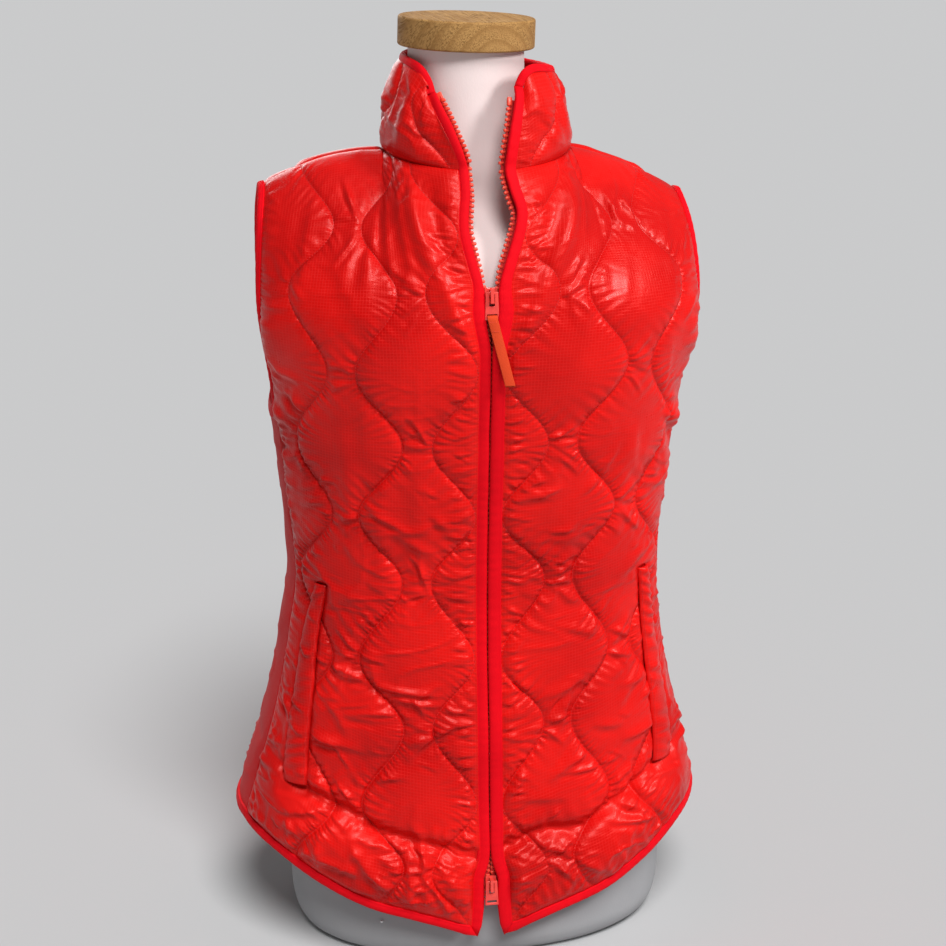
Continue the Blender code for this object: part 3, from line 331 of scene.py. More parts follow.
@dataclass(frozen=True)
class VestPattern:
    """Sizes of the vest and its surfaces at stitch level."""

    wall: float = 2.4
    seam: float = 0.04
    puff: float = 6.5
    stitch_first: float = 29.0
    stitch_step: float = 61.0
    stitch_swing: float = 18.5
    least_cell: float = 7.0
    panel_edge: float = 9.4
    side_half: float = 34.0
    underarm: float = 476.0
    underarm_rise: float = 13.0
    bust: float = 580.0
    bust_half: float = 190.0
    bust_front: float = 121.5
    bust_back: float = 94.0
    shoulder_depth: float = 4.0
    neckline_share: float = 0.43
    top_trim: float = 0.0003
    neck_narrowing: float = 3.4     # how much narrower the bindings are round the open neck
    hem_narrowing: float = 1.6      # and the hem binding
    armhole_narrowing: float = 3.2  # and the armholes' bindings
    hem_roll_height: float = 66.0
    hem_roll_depth: float = 5.4
    hem_band_bulge: float = 6.0
    rings: tuple = (
        Ring(20, 217, 131, 126, 2.30, -4),
        Ring(60, 214, 129, 124, 2.30, -4),
        Ring(110, 208.5, 124, 120, 2.30, -3.5),
        Ring(160, 196, 117, 114, 2.30, -1.5),
        Ring(226, 179, 112, 104, 2.30, 0),
        Ring(290, 167, 105, 90, 2.30, 0),
        Ring(345, 162.5, 102, 82, 2.30, 3),
        Ring(411, 166.5, 106, 82, 2.30, 3),
        Ring(475, 173, 113, 88, 2.30, 4),
        Ring(560, 180, 121, 94, 2.30, 3),
    )
    hem_front: tuple = ((0, 41), (25, 51), (60, 62), (100, 73), (150, 95), (190, 113), (240, 125), (290, 128))
    hem_back: tuple = ((0, 72), (80, 76), (150, 93), (200, 114), (245, 125), (290, 128))
    quilt_turns: tuple = (20, 40, 101, 155, 226, 284, 353, 411, 473, 536, 600, 645, 688, 735)
    # Free front edges: level, tips of the teeth and start of the binding on the right, then on the left.
    front_edges: tuple = (
        (20, 13.6, 13.0, 10.8, 10.0), (45, 9.4, 9.5, 8.4, 8.5), (68, 5.0, 7.6, 4.8, 7.2),
        (78, 2.4, 7.2, 2.4, 7.2), (88, 0.2, 7.2, 0.2, 7.2), (108, 0.2, 1.6, 0.2, 1.4),
        (140, 0.2, 1.2, 0.2, 1.0), (550, 0.2, 1.2, 0.2, 1.0), (572, 0.2, 4.8, 0.2, 4.6),
        (586, 0.2, 7.0, 0.4, 7.0), (604, 3.9, 8.4, 3.9, 8.6), (616, 6.2, 11.6, 6.6, 12.4),
        (630, 9.0, 15.0, 11.6, 17.4), (648, 12.0, 18.0, 17.6, 23.6), (660, 11.2, 17.2, 19.4, 25.4),
        (676, 8.8, 14.8, 15.2, 21.2), (692, 9.0, 15.0, 12.2, 18.2), (708, 11.6, 17.6, 13.4, 19.4),
        (724, 16.2, 22.2, 15.6, 21.6), (745, 27.6, 32.6, 19.2, 25.2), (775, 48.0, 52.0, 24.0, 30.0),
    )
    collar_base: Ring = Ring(692, 75, 82, 70, 2.0, 5)
    collar_top: Ring = Ring(764, 63, 71, 67, 2.0, 6.5)
    collar_bulge: float = 3.5
    neckline_rise_side: float = 5.0
    neckline_rise_back: float = 14.0
    collar_edge: tuple = (
        (-180, 759), (-120, 764), (-90, 764), (-60, 760), (-38, 751), (-26, 747),
        (20, 757), (36, 760), (60, 757), (90, 753), (130, 754), (180, 759),
    )

    def armhole(self, side: Side) -> Armhole:
        """Sizes of one armhole."""
        if side is Side.RIGHT:
            return Armhole(177.0, 172.0, 44.0, 168.0, 672.0, 7.0)
        return Armhole(183.0, 176.0, 44.0, 170.0, 659.0, 4.5)

    def collar_corner(self, side: Side) -> float:
        """Height of the collar's front corner."""
        return 747.0 if side is Side.RIGHT else 757.0

    def corner_radius(self, side: Side) -> float:
        """Rounding of the collar's front corner."""
        return 15.0 if side is Side.RIGHT else 10.0


class VestShape:
    """Points and normals of the vest's surfaces at stitch level, for whole arrays at once."""

    def __init__(self, pattern: VestPattern) -> None:
        """Prepares the tables that the surfaces are read from."""
        self.p = pattern
        self.quarters = {back: QuarterRings(pattern.rings, back) for back in (False, True)}
        level = pattern.underarm + pattern.underarm_rise
        self.reach = {back: float(self.seam_arc(np.array(level), back)) for back in (False, True)}

    def edge_at(self, side: Side, z: Array, binding: bool = True) -> Array:
        """Distance of the teeth's tips, or of the binding's start, from the centre at a level."""
        index = (1 if side is Side.RIGHT else 3) + (1 if binding else 0)
        rows = self.p.front_edges
        return curve_through(z, column(rows, 0), column(rows, index))

    def swing(self, z: Array) -> Array:
        """1 where the first quilting line stands farthest from the zip, -1 where it is nearest."""
        return np.cos(math.pi * np.interp(z, self.p.quilt_turns, range(len(self.p.quilt_turns))))

    def hem_height(self, v: Array, back: bool) -> Array:
        """Height of the panels' lower edge by the distance from the centre."""
        rows = self.p.hem_back if back else self.p.hem_front
        return curve_through(v, column(rows, 0), column(rows, 1))

    def seam_arc(self, z: Array, back: bool) -> Array:
        """Distance of the side seam from the centre, along the cloth."""
        return self.quarters[back].length_at(z) - self.p.side_half

    def ring_points(self, z: Array, arc: Array, side: Side, back: bool) -> Array:
        """Points of the body at levels and distances from the centre front or back.

        Args:
            z: Levels.
            arc: Distances along the cloth.
            side: The wearer's side.
            back: Whether the distances start from the centre back.

        Returns:
            Points, with a last axis of three.
        """
        table = self.quarters[back]
        ring = ring_sizes(self.p.rings, z)
        angle = table.angle_at(z, arc / table.length_at(z))
        x = ring["half"] * np.sin(angle) ** (2 / ring["power"])
        y = ring["back" if back else "front"] * np.cos(angle) ** (2 / ring["power"])
        wide = side.value * x + ring["shift"] * x / ring["half"]
        return np.stack([wide, y if back else -y, z + 0 * x], axis=-1)

    def bust_points(self, share: Array, side: Side, back: bool, start: float) -> Array:
        """Points of the row curve at bust level, from the centre edge to the armhole.

        Args:
            share: Shares of the way to the armhole.
            side: The wearer's side.
            back: Whether it is the back.
            start: Distance of the panel's edge from the centre.

        Returns:
            Points, with a last axis of three.
        """
        p = self.p
        depth = p.bust_back if back else p.bust_front
        armhole = p.armhole(side)
        x_end = armhole.back if back else armhole.front
        angles = np.linspace(0, math.pi / 2, 801)
        x = p.bust_half * np.sin(angles) ** (2 / 2.3)
        y = depth * np.cos(angles) ** (2 / 2.3)
        lengths = np.concatenate([[0], np.cumsum(np.hypot(np.diff(x), np.diff(y)))])
        last = np.interp(x_end, x, lengths)
        at = np.interp(start + (last - start) * share, lengths, angles)
        point_x = p.bust_half * np.sin(at) ** (2 / 2.3)
        point_y = depth * np.cos(at) ** (2 / 2.3)
        point_y = point_y + (armhole.depth - np.interp(last, lengths, y)) * share**3
        point_x, point_y = np.broadcast_arrays(point_x, point_y)
        x_out = side.value * point_x + 2 * point_x / p.bust_half
        return np.stack([x_out, point_y if back else -point_y, np.full_like(point_x, p.bust)], axis=-1)

    def neckline(self, angle: Array, side: Side) -> Array:
        """Points of the neckline, from the centre front (0 degrees) to the centre back (180)."""
        p = self.p
        turn = np.radians(angle)
        ring = p.collar_base
        depth = np.where(angle < 90, ring.front, ring.back)
        rise = p.neckline_rise_side * np.sin(turn) ** 2
        rise = rise + np.where(angle > 90, p.neckline_rise_back * np.cos(turn) ** 2, 0.0)
        x = ring.shift + side.value * ring.half * np.sin(turn)
        return np.stack([x, -depth * np.cos(turn), ring.z - 2.0 + rise], axis=-1)

    def top_points(self, share: Array, side: Side, first_angle: float) -> Array:
        """Points of a panel's upper edge: the neckline, then the shoulder seam."""
        p = self.p
        on_neck = np.minimum(share / p.neckline_share, 1.0)
        part = np.clip((share - p.neckline_share) / (1 - p.neckline_share), 0.0, 1.0)[..., None]
        armhole = p.armhole(side)
        neck = self.neckline(np.array(90.0), side)
        tip = np.array([2 + side.value * armhole.tip_x, p.shoulder_depth, armhole.tip_z])
        bow = np.array([0.0, 0.0, armhole.bow]) * 4 * part * (1 - part)
        shoulder = neck + (tip - neck) * part + bow
        around = self.neckline(first_angle + (90.0 - first_angle) * on_neck, side)
        return np.where((share < p.neckline_share)[..., None], around, shoulder)

    def upper_points(self, share: Array, t: Array, side: Side, back: bool) -> Array:
        """Points of the upper part of a panel, between the underarm ring and the upper edge.

        Args:
            share: Shares of the way from the centre edge to the armhole.
            t: Shares of the way up.
            side: The wearer's side.
            back: Whether it is the back.

        Returns:
            Points, with a last axis of three.
        """
        p = self.p
        start = 0.0 if back else p.panel_edge
        level = p.underarm + p.underarm_rise * share**4
        below = self.ring_points(level, start + (self.reach[back] - start) * share, side, back)
        shift = 0.0 if back else float(self.edge_at(side, np.array(p.bust))) - 1.0
        middle = self.bust_points(share, side, back, start + shift)
        angle = 180.0 if back else float(self.collar_limit(side, np.array(0.0)))
        above = self.top_points(share, side, angle)
        split = 0.46
        zero = 0.0 * share
        begin = np.stack([zero, (14 if back else -22) * (1 - share**2), 190.0 + zero], axis=-1)
        passing = (above - below) * np.array([1.0, 0.55, 1.0])
        over = np.minimum(1.0, share / p.neckline_share)
        way = -1 if back else 1
        end = np.stack([zero, way * (60 + 45 * over), 78 * (1 - over) + 10 * over], axis=-1)
        first = self.hermite(np.minimum(t / split, 1.0), below, middle, begin * split, passing * split)
        late = np.maximum((t - split) / (1 - split), 0.0)
        second = self.hermite(late, middle, above, passing * (1 - split), end)
        return np.where((t < split)[..., None], first, second)

    @staticmethod
    def hermite(u: Array, start: Array, end: Array, leave: Array,
                arrive: Array) -> Array:
        """Points of a curve from start to end with its directions at both."""
        u = u[..., None]
        return (
            (2 * u**3 - 3 * u**2 + 1) * start
            + (u**3 - 2 * u**2 + u) * leave
            + (3 * u**2 - 2 * u**3) * end
            + (u**3 - u**2) * arrive
        )

    def panel_points(self, v: Array, w: Array, side: Side, back: bool) -> Array:
        """Points of a front or back panel.

        Args:
            v: Distances from the centre along the cloth.
            w: Rows, from the hem (0) over the underarm (1) to the neckline and shoulder (2).
            side: The wearer's side.
            back: Whether it is the back.

        Returns:
            Points, with a last axis of three.
        """
        v, w = np.broadcast_arrays(np.asarray(v, float), np.asarray(w, float))
        start = 0.0 if back else self.p.panel_edge
        last = self.reach[back]
        share = np.clip((v - start) / (last - start), 0.0, 1.0)
        hem = self.hem_height(v, back)
        level = self.p.underarm + self.p.underarm_rise * share**4
        z = hem + (level - hem) * np.minimum(w, 1.0)
        shift = 0.0 if back else (self.edge_at(side, z) - 1.0) * np.maximum(0.0, 1 - v / last)
        lower = self.ring_points(z, v + shift, side, back)
        t = np.maximum(w - 1, 0.0)
        upper = self.upper_points(share, t, side, back)
        if not back:
            edge = self.upper_points(0 * share, t, side, back)
            wanted = self.edge_at(side, upper[..., 2]) + self.p.panel_edge - 1.0
            upper[..., 0] += side.value * (wanted - side.value * edge[..., 0]) * (1 - share) ** 3
        return np.where((w <= 1)[..., None], lower, upper)

    def panel_normals(self, v: Array, w: Array, side: Side, back: bool) -> Array:
        """Outward normals of a front or back panel; the arguments are those of panel_points."""
        v, w = np.broadcast_arrays(np.asarray(v, float), np.asarray(w, float))
        before = self.panel_points(np.maximum(v - 1.5, 0), w, side, back)
        along = self.panel_points(v + 1.5, w, side, back) - before
        high = self.panel_points(v, np.minimum(w + 0.01, 2.0), side, back)
        up = high - self.panel_points(v, np.maximum(w - 0.01, 0.0), side, back)
        normal = units(np.cross(along, up) * side.value * (-1 if back else 1))
        last = self.reach[back]
        over = np.clip((v - last * self.p.neckline_share) / (last * 0.1), 0, 1)
        blend = (over * np.clip((w - 1.75) / 0.25, 0, 1) ** 2)[..., None]
        seam_up = units(np.array([side.value * 0.29, 0.0, 1.0]))
        return units(normal * (1 - blend) + seam_up * blend)

    def outer_edge(self, w: Array, back: bool) -> Array:
        """Distance of the side seam or armhole edge from the centre, along the cloth, on rows."""
        reach = np.full_like(w, self.reach[back])
        arc = reach
        for _ in range(5):
            z = self.panel_points(arc, np.minimum(w, 1.0), Side.LEFT, back)[..., 2]
            arc = self.seam_arc(z, back) - self.p.seam
        return np.where(w >= 1, reach - self.p.seam, arc)

    def side_points(self, u: Array, w: Array, side: Side) -> Array:
        """Points of a side panel; u runs from the front seam (-1) to the back seam (1)."""
        p = self.p
        u, w = np.broadcast_arrays(np.asarray(u, float), np.asarray(w, float))
        front = self.panel_points(self.outer_edge(w, False) + p.seam, w, side, False)[..., 2]
        rear = self.panel_points(self.outer_edge(w, True) + p.seam, w, side, True)[..., 2]
        z = front + (rear - front) * (u + 1) / 2 - p.underarm_rise * (1 - u * u) * w**6
        points = []
        for back in (False, True):
            arc = self.seam_arc(z, back) + p.side_half * (1 - np.abs(u)) + p.seam * (np.abs(u) > 0.999)
            points.append(self.ring_points(z, arc, side, back))
        return np.where((u > 0)[..., None], points[1], points[0])

    def collar_points(self, turn: Array, g: Array) -> Array:
        """Points of the collar.

        Args:
            turn: Signed angles from the centre front, negative on the wearer's right.
            g: Shares of the way from the neckline (0) to the upper edge (1).

        Returns:
            Points, with a last axis of three.
        """
        p = self.p
        turn, g = np.broadcast_arrays(np.asarray(turn, float), np.asarray(g, float))
        angle = np.abs(turn)
        way = np.where(turn < 0, -1.0, 1.0)
        right = self.neckline(angle, Side.RIGHT)
        base = np.where((turn < 0)[..., None], right, self.neckline(angle, Side.LEFT))
        base = base + np.array([0.0, 0.0, 2 * p.seam])
        radians = np.radians(angle)
        depth = np.where(angle < 90, p.collar_top.front, p.collar_top.back)
        height = curve_through(turn, column(p.collar_edge, 0), column(p.collar_edge, 1))
        for side in Side:
            radius = p.corner_radius(side)
            first = float(self.collar_limit(side, np.array(1.0)))
            over = radius - np.clip((angle - first) * 1.13, 0.0, radius)
            drop = radius - np.sqrt(radius**2 - np.minimum(over, 0.985 * radius) ** 2)
            height = height - np.where((way == side.value) & (angle < 90), drop, 0.0)
        x = p.collar_top.shift + way * p.collar_top.half * np.sin(radians)
        top = np.stack([x, -depth * np.cos(radians), height], axis=-1)
        outward = np.stack([way * np.sin(radians), -np.cos(radians), 0 * radians], axis=-1)
        return base + (top - base) * g[..., None] + outward * (p.collar_bulge * 4 * g * (1 - g))[..., None]

    def collar_normals(self, turn: Array, g: Array) -> Array:
        """Outward normals of the collar; the arguments are those of collar_points."""
        along = self.collar_points(turn + 1.0, g) - self.collar_points(turn - 1.0, g)
        low = self.collar_points(turn, np.maximum(g - 0.03, 0.0))
        return units(np.cross(along, self.collar_points(turn, np.minimum(g + 0.03, 1.0)) - low))

    def collar_limit(self, side: Side, g: Array) -> Array:
        """Angle at which the collar starts beside the free front edge."""
        p = self.p
        half = p.collar_base.half + (p.collar_top.half - p.collar_base.half) * g
        shift = p.collar_base.shift + (p.collar_top.shift - p.collar_base.shift) * g
        z = p.collar_base.z + (p.collar_corner(side) - p.collar_base.z) * g
        reach = self.edge_at(side, z) + p.panel_edge - 1.0
        return np.degrees(np.arcsin((reach - side.value * shift) / half))

    def narrowing(self, z: Array) -> Array:
        """How much narrower the front bindings are at a level."""
        return self.p.neck_narrowing * np.interp(z, [586, 610], [0.0, 1.0])

    def hem_roll(self, above: Array) -> Array:
        """Crease above the hem and the full band under it, by the height above the hem."""
        p = self.p
        crease = -1.2 * p.hem_roll_depth * bump_at(above - p.hem_roll_height, 6.5)
        return crease + p.hem_band_bulge * bump_at(above - 0.5 * p.hem_roll_height, 20)


PATTERN = VestPattern()
SHAPE = VestShape(PATTERN)


# ---------------------------------------------------------------- meshes


def lay_uv(mesh: bpy.types.Mesh, uv: Array) -> None:
    """Gives a mesh a UV map in units of cloth length from one pair of millimetres a vertex."""
    layer = mesh.uv_layers.new(name="cloth")
    corners = np.zeros(len(mesh.loops), np.int32)
    mesh.loops.foreach_get("vertex_index", corners)
    layer.data.foreach_set("uv", (np.asarray(uv, float)[corners] / UV_UNIT).astype(np.float32).ravel())


def add_piece(name: str, points: Array, faces: list, uv: Array | None, finish: bpy.types.Material,
              body: str = ROOT) -> bpy.types.Object:
    """A finished piece that rides on a body.

    Args:
        name: The piece's name.
        points: Vertices in millimetres.
        faces: Vertex numbers of each face.
        uv: Cloth millimetres of each vertex, or None.
        finish: Its material.
        body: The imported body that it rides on.

    Returns:
        The piece.
    """
    mesh = bpy.data.meshes.new(name)
    mesh.from_pydata((np.asarray(points, float) * MM).tolist(), [], faces)
    if uv is not None:
        lay_uv(mesh, uv)
    build = bmesh.new()
    build.from_mesh(mesh)
    bmesh.ops.recalc_face_normals(build, faces=build.faces)
    build.to_mesh(mesh)
    build.free()
    mesh.shade_smooth()
    mesh.materials.append(finish)
    piece = bpy.data.objects.new(name, mesh)
    bpy.context.scene.collection.objects.link(piece)
    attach(piece, body)
    LOG.info("%s: %d vertices, %d faces", name, len(mesh.vertices), len(mesh.polygons))
    return piece


def stepped(first: list, second: list) -> list:
    """Triangles between two open runs of vertex numbers, in step along both."""
    faces = []
    i = j = 0
    while i < len(first) - 1 or j < len(second) - 1:
        next_i = (i + 1) / (len(first) - 1)
        next_j = (j + 1) / max(len(second) - 1, 1)
        if j == len(second) - 1 or (i < len(first) - 1 and next_i <= next_j):
            faces.append((first[i], first[i + 1], second[j]))
            i += 1
        else:
            faces.append((first[i], second[j + 1], second[j]))
            j += 1
    return faces


def thinned(last: int, step: int) -> list:
    """Every step-th number from 1 to last, always with the last."""
    kept = list(range(1, last, step))
    if last - kept[-1] < 2 and len(kept) > 2:
        kept.pop()
    return kept + [last]


def cloth_wall(name: str, outer: Array, inner: Array, uv: Array, finish: bpy.types.Material,
               step: int = 4) -> bpy.types.Object:
    """A cloth wall between two grids in step, closed round its rim, with a coarser inside.

    Args:
        name: The piece's name.
        outer: Outer grid of points, rows by columns by three.
        inner: Inner grid of the same shape.
        uv: Cloth millimetres of the grid's points.
        finish: Its material.
        step: Rows and columns of the grid for each one of the inside.

    Returns:
        The piece.
    """
    rows, columns = outer.shape[:2]
    number = np.arange(rows * columns).reshape(rows, columns)
    under = number + rows * columns
    corners = (number[:-1, :-1], number[:-1, 1:], number[1:, 1:], number[1:, :-1])
    faces = np.stack(corners, axis=-1).reshape(-1, 4).tolist()
    rim = [(0, c) for c in range(columns - 1)] + [(r, columns - 1) for r in range(rows - 1)]
    rim += [(rows - 1, c) for c in range(columns - 1, 0, -1)] + [(r, 0) for r in range(rows - 1, 0, -1)]
    for place, after in zip(rim, rim[1:] + rim[:1]):
        faces.append((number[place], number[after], under[after], under[place]))
    kept_rows, kept_columns = thinned(rows - 2, step), thinned(columns - 2, step)
    few = under[np.ix_(kept_rows, kept_columns)]
    corners = (few[:-1, :-1], few[1:, :-1], few[1:, 1:], few[:-1, 1:])
    faces += np.stack(corners, axis=-1).reshape(-1, 4).tolist()
    for row, kept in ((0, kept_rows[0]), (rows - 1, kept_rows[-1])):
        faces += stepped(list(under[row]), [under[kept, c] for c in kept_columns])
    for column, kept in ((0, kept_columns[0]), (columns - 1, kept_columns[-1])):
        faces += stepped(list(under[:, column]), [under[r, kept] for r in kept_rows])
    used, renumbered = np.unique(np.concatenate([np.asarray(face) for face in faces]), return_inverse=True)
    sizes = [len(face) for face in faces]
    starts = np.concatenate([[0], np.cumsum(sizes)])
    flat = renumbered.ravel()
    faces = [tuple(flat[a:b].tolist()) for a, b in zip(starts[:-1], starts[1:])]
    points = np.concatenate([outer.reshape(-1, 3), inner.reshape(-1, 3)])[used]
    both = np.concatenate([uv.reshape(-1, 2), uv.reshape(-1, 2)])[used]
    return add_piece(name, points, faces, both, finish)


def bar_faces(rings: int, around: int, closed: bool) -> list:
    """Faces of a bar of rings of points, with flat ends unless it is closed on itself."""
    number = np.arange(rings * around).reshape(rings, around)
    if closed:
        number = np.vstack([number, number[:1]])
    turned = np.roll(number, -1, axis=1)
    faces = np.stack([number[:-1], turned[:-1], turned[1:], number[1:]], axis=-1).reshape(-1, 4).tolist()
    if not closed:
        faces.append(tuple(range(around)))
        faces.append(tuple(reversed(range((rings - 1) * around, rings * around))))
    return faces


def placed(template: Array, at: Array, axes: tuple) -> Array:
    """Copies of a template's points at places, along the three directions at each of them."""
    made = at[:, None]
    for k, axis in enumerate(axes):
        made = made + template[None, :, k:k + 1] * axis[:, None]
    return made.reshape(-1, 3)


def stitches(name: str, paths: list, finish: bpy.types.Material, pitch: float = 2.6,
             length: float = 1.9, thick: float = 0.55, body: str = ROOT) -> bpy.types.Object:
    """One joined mesh of the stitches along seams.

    Args:
        name: The piece's name.
        paths: Pairs of points and normals along each seam, in millimetres.
        finish: Its material.
        pitch: From one stitch to the next.
        length: Length of a stitch.
        thick: Thickness of the thread.
        body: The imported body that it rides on.

    Returns:
        The piece.
    """
    square = ((0.5, 0), (0, 0.5), (-0.5, 0), (0, -0.5))
    template = [(-0.5, 0, 0)] + [(x, a, b) for x in (-0.3, 0.3) for a, b in square] + [(0.5, 0, 0)]
    template = np.array(template) * np.array([length, thick, thick])
    shape = [(0, 1 + (k + 1) % 4, 1 + k) for k in range(4)]
    shape += [(1 + k, 1 + (k + 1) % 4, 5 + (k + 1) % 4, 5 + k) for k in range(4)]
    shape += [(9, 5 + k, 5 + (k + 1) % 4) for k in range(4)]
    points, faces = [], []
    for line, normals in paths:
        run = run_along(line)
        places = np.arange(pitch * 0.6, run[-1] - pitch * 0.4, pitch)
        at = read_along(places, run, line)
        ahead = read_along(places + 0.8, run, line)
        up = units(read_along(places, run, normals))
        along = units(ahead - at)
        across = units(np.cross(along, up))
        start = sum(len(block) for block in points)
        points.append(placed(template, at, (along, across, np.cross(across, along))))
        faces += [tuple(start + 10 * k + i for i in face) for k in range(len(places)) for face in shape]
    return add_piece(name, np.concatenate(points), faces, None, finish, body)


# ---------------------------------------------------------------- finishes


class Wiring:
    """Short ways to add and link the nodes of a material or a shader group."""

    def __init__(self, tree: bpy.types.NodeTree) -> None:
        """Keeps the node tree that is worked on."""
        self.tree = tree

    def add(self, kind: str, inputs: dict | None = None, **settings: object) -> bpy.types.Node:
        """A new node.

        Args:
            kind: Type of the node.
            inputs: Values or output sockets by input name or number.
            **settings: Attributes of the node.

        Returns:
            The node.
        """
        made = self.tree.nodes.new(kind)
        for key, value in settings.items():
            setattr(made, key, value)
        for key, value in (inputs or {}).items():
            if isinstance(value, Socket):
                self.tree.links.new(value, made.inputs[key])
            else:
                made.inputs[key].default_value = value
        return made

    def link(self, value: Socket, node: bpy.types.Node, name: str) -> None:
        """Feeds a value to a named input of a node."""
        self.tree.links.new(value, node.inputs[name])

    def math(self, operation: str, first: object, second: object = 0.0) -> Socket:
        """The output of a Math node."""
        return self.add("ShaderNodeMath", {0: first, 1: second}, operation=operation).outputs[0]

    def times(self, first: object, second: object) -> Socket:
        """Two values multiplied."""
        return self.math("MULTIPLY", first, second)

    def plus(self, first: object, second: object) -> Socket:
        """Two values added."""
        return self.math("ADD", first, second)

    def minus(self, first: object, second: object) -> Socket:
        """The second value taken from the first."""
        return self.math("SUBTRACT", first, second)

    def over(self, first: object, second: object) -> Socket:
        """The first value divided by the second."""
        return self.math("DIVIDE", first, second)

    def ramp(self, value: object, low: float, high: float, to_low: float = 0.0,
             to_high: float = 1.0) -> Socket:
        """A value carried smoothly from one range to another."""
        inputs = {"Value": value, "From Min": low, "From Max": high, "To Min": to_low, "To Max": to_high}
        return self.add("ShaderNodeMapRange", inputs, interpolation_type="SMOOTHSTEP").outputs["Result"]

    def blend(self, share: object, first: object, second: object) -> Socket:
        """Two colours mixed."""
        return self.add("ShaderNodeMix", {0: share, 6: first, 7: second}, data_type="RGBA").outputs[2]

    def noise(self, vector: object, scale: float, detail: float = 2.0,
              rough: float = 0.5) -> Socket:
        """The value of a noise texture."""
        inputs = {"Vector": vector, "Scale": scale, "Detail": detail, "Roughness": rough}
        return self.add("ShaderNodeTexNoise", inputs).outputs["Fac"]


def new_group(name: str, inputs: dict, outputs: tuple) -> tuple:
    """A shader node group with its sockets.

    Args:
        name: The group's name.
        inputs: Default values by name; None is a vector.
        outputs: Names of its outputs, all plain numbers.

    Returns:
        The group, its wiring, its input node and its output node.
    """
    group = bpy.data.node_groups.new(name, "ShaderNodeTree")
    for key, value in inputs.items():
        kind = "NodeSocketVector" if value is None else "NodeSocketFloat"
        socket = group.interface.new_socket(key, in_out="INPUT", socket_type=kind)
        if value is not None:
            socket.default_value = value
    for key in outputs:
        group.interface.new_socket(key, in_out="OUTPUT", socket_type="NodeSocketFloat")
    wiring = Wiring(group)
    return group, wiring, group.nodes.new("NodeGroupInput"), group.nodes.new("NodeGroupOutput")


def checks_group() -> bpy.types.NodeTree:
    """Group of thin raised threads in a square grid, as ripstop has, over a plain weave."""
    inputs = {"Vector": None, "Pitch": 0.022, "Line": 0.16, "Weave": 0.004}
    group, w, start, end = new_group("ripstop_grid", inputs, ("Lines", "Height"))
    parts = w.add("ShaderNodeSeparateXYZ", {0: start.outputs["Vector"]}).outputs
    lines, weave = [], []
    for axis in ("X", "Y"):
        share = w.math("FRACT", w.over(parts[axis], start.outputs["Pitch"]))
        off = w.math("ABSOLUTE", w.minus(share, 0.5))
        thread = start.outputs["Line"]
        lines.append(w.minus(1.0, w.over(w.math("MINIMUM", off, thread), thread)))
        turn = w.times(w.over(parts[axis], start.outputs["Weave"]), 2 * math.pi)
        weave.append(w.math("SINE", turn))
    both = w.math("MAXIMUM", *lines)
    fine = w.times(*weave)
    w.link(both, end, "Lines")
    w.link(w.plus(both, w.times(fine, 0.12)), end, "Height")
    return group


def knit_group() -> bpy.types.NodeTree:
    """Group of fine knit wales and courses."""
    inputs = {"Vector": None, "Wale": 0.010, "Course": 0.012}
    group, w, start, end = new_group("knit_ribs", inputs, ("Height",))
    parts = w.add("ShaderNodeSeparateXYZ", {0: start.outputs["Vector"]}).outputs
    wale = w.math("SINE", w.times(w.over(parts["X"], start.outputs["Wale"]), 2 * math.pi))
    rows = w.times(w.over(parts["Y"], start.outputs["Course"]), 2 * math.pi)
    course = w.math("SINE", w.plus(rows, w.times(w.math("ABSOLUTE", wale), 1.6)))
    height = w.plus(w.times(wale, 0.5), w.times(course, 0.35))
    w.link(height, end, "Height")
    return group


GROUPS: dict = {}


def shared(name: str, make: object) -> bpy.types.NodeTree:
    """A shader group that is built once."""
    if name not in GROUPS:
        GROUPS[name] = make()
    return GROUPS[name]


@dataclass(frozen=True)
class Finish:
    """A surface finish: its colours, and the plain values of its shader."""

    name: str
    color: tuple
    dark: tuple
    roughness: float = 0.5
    metallic: float = 0.0
    coat: float = 0.0
    coat_roughness: float = 0.2
    sheen: float = 0.0
    sheen_tint: tuple = (1.0, 1.0, 1.0, 1.0)
    specular: float = 0.5
    specular_tint: tuple = (1.0, 1.0, 1.0, 1.0)

    def start(self) -> tuple:
        """A material with its shader.

        Returns:
            The material, its wiring and its Principled BSDF.
        """
        made = bpy.data.materials.new(self.name)
        made.use_nodes = True
        made.diffuse_color = self.color
        shader = made.node_tree.nodes["Principled BSDF"]
        values = {
            "Base Color": self.color, "Roughness": self.roughness, "Metallic": self.metallic,
            "Coat Weight": self.coat, "Coat Roughness": self.coat_roughness, "Sheen Weight": self.sheen,
            "Sheen Roughness": 0.4, "Sheen Tint": self.sheen_tint, "Specular IOR Level": self.specular,
            "Specular Tint": self.specular_tint,
        }
        for key, value in values.items():
            shader.inputs[key].default_value = value
        return made, Wiring(made.node_tree), shader

    @staticmethod
    def bump(w: Wiring, shader: bpy.types.Node, height: object, depth: float,
             below: object = None) -> Socket:
        """Feeds a height to the shader's normal.

        Args:
            w: The material's wiring.
            shader: Its Principled BSDF.
            height: The height, 0 to 1.
            depth: Depth of the relief in metres.
            below: The normal of a relief under this one.

        Returns:
            The new normal.
        """
        inputs = {"Height": height, "Distance": depth, "Strength": 1.0}
        if below is not None:
            inputs["Normal"] = below
        normal = w.add("ShaderNodeBump", inputs).outputs["Normal"]
        w.link(normal, shader, "Normal")
        return normal


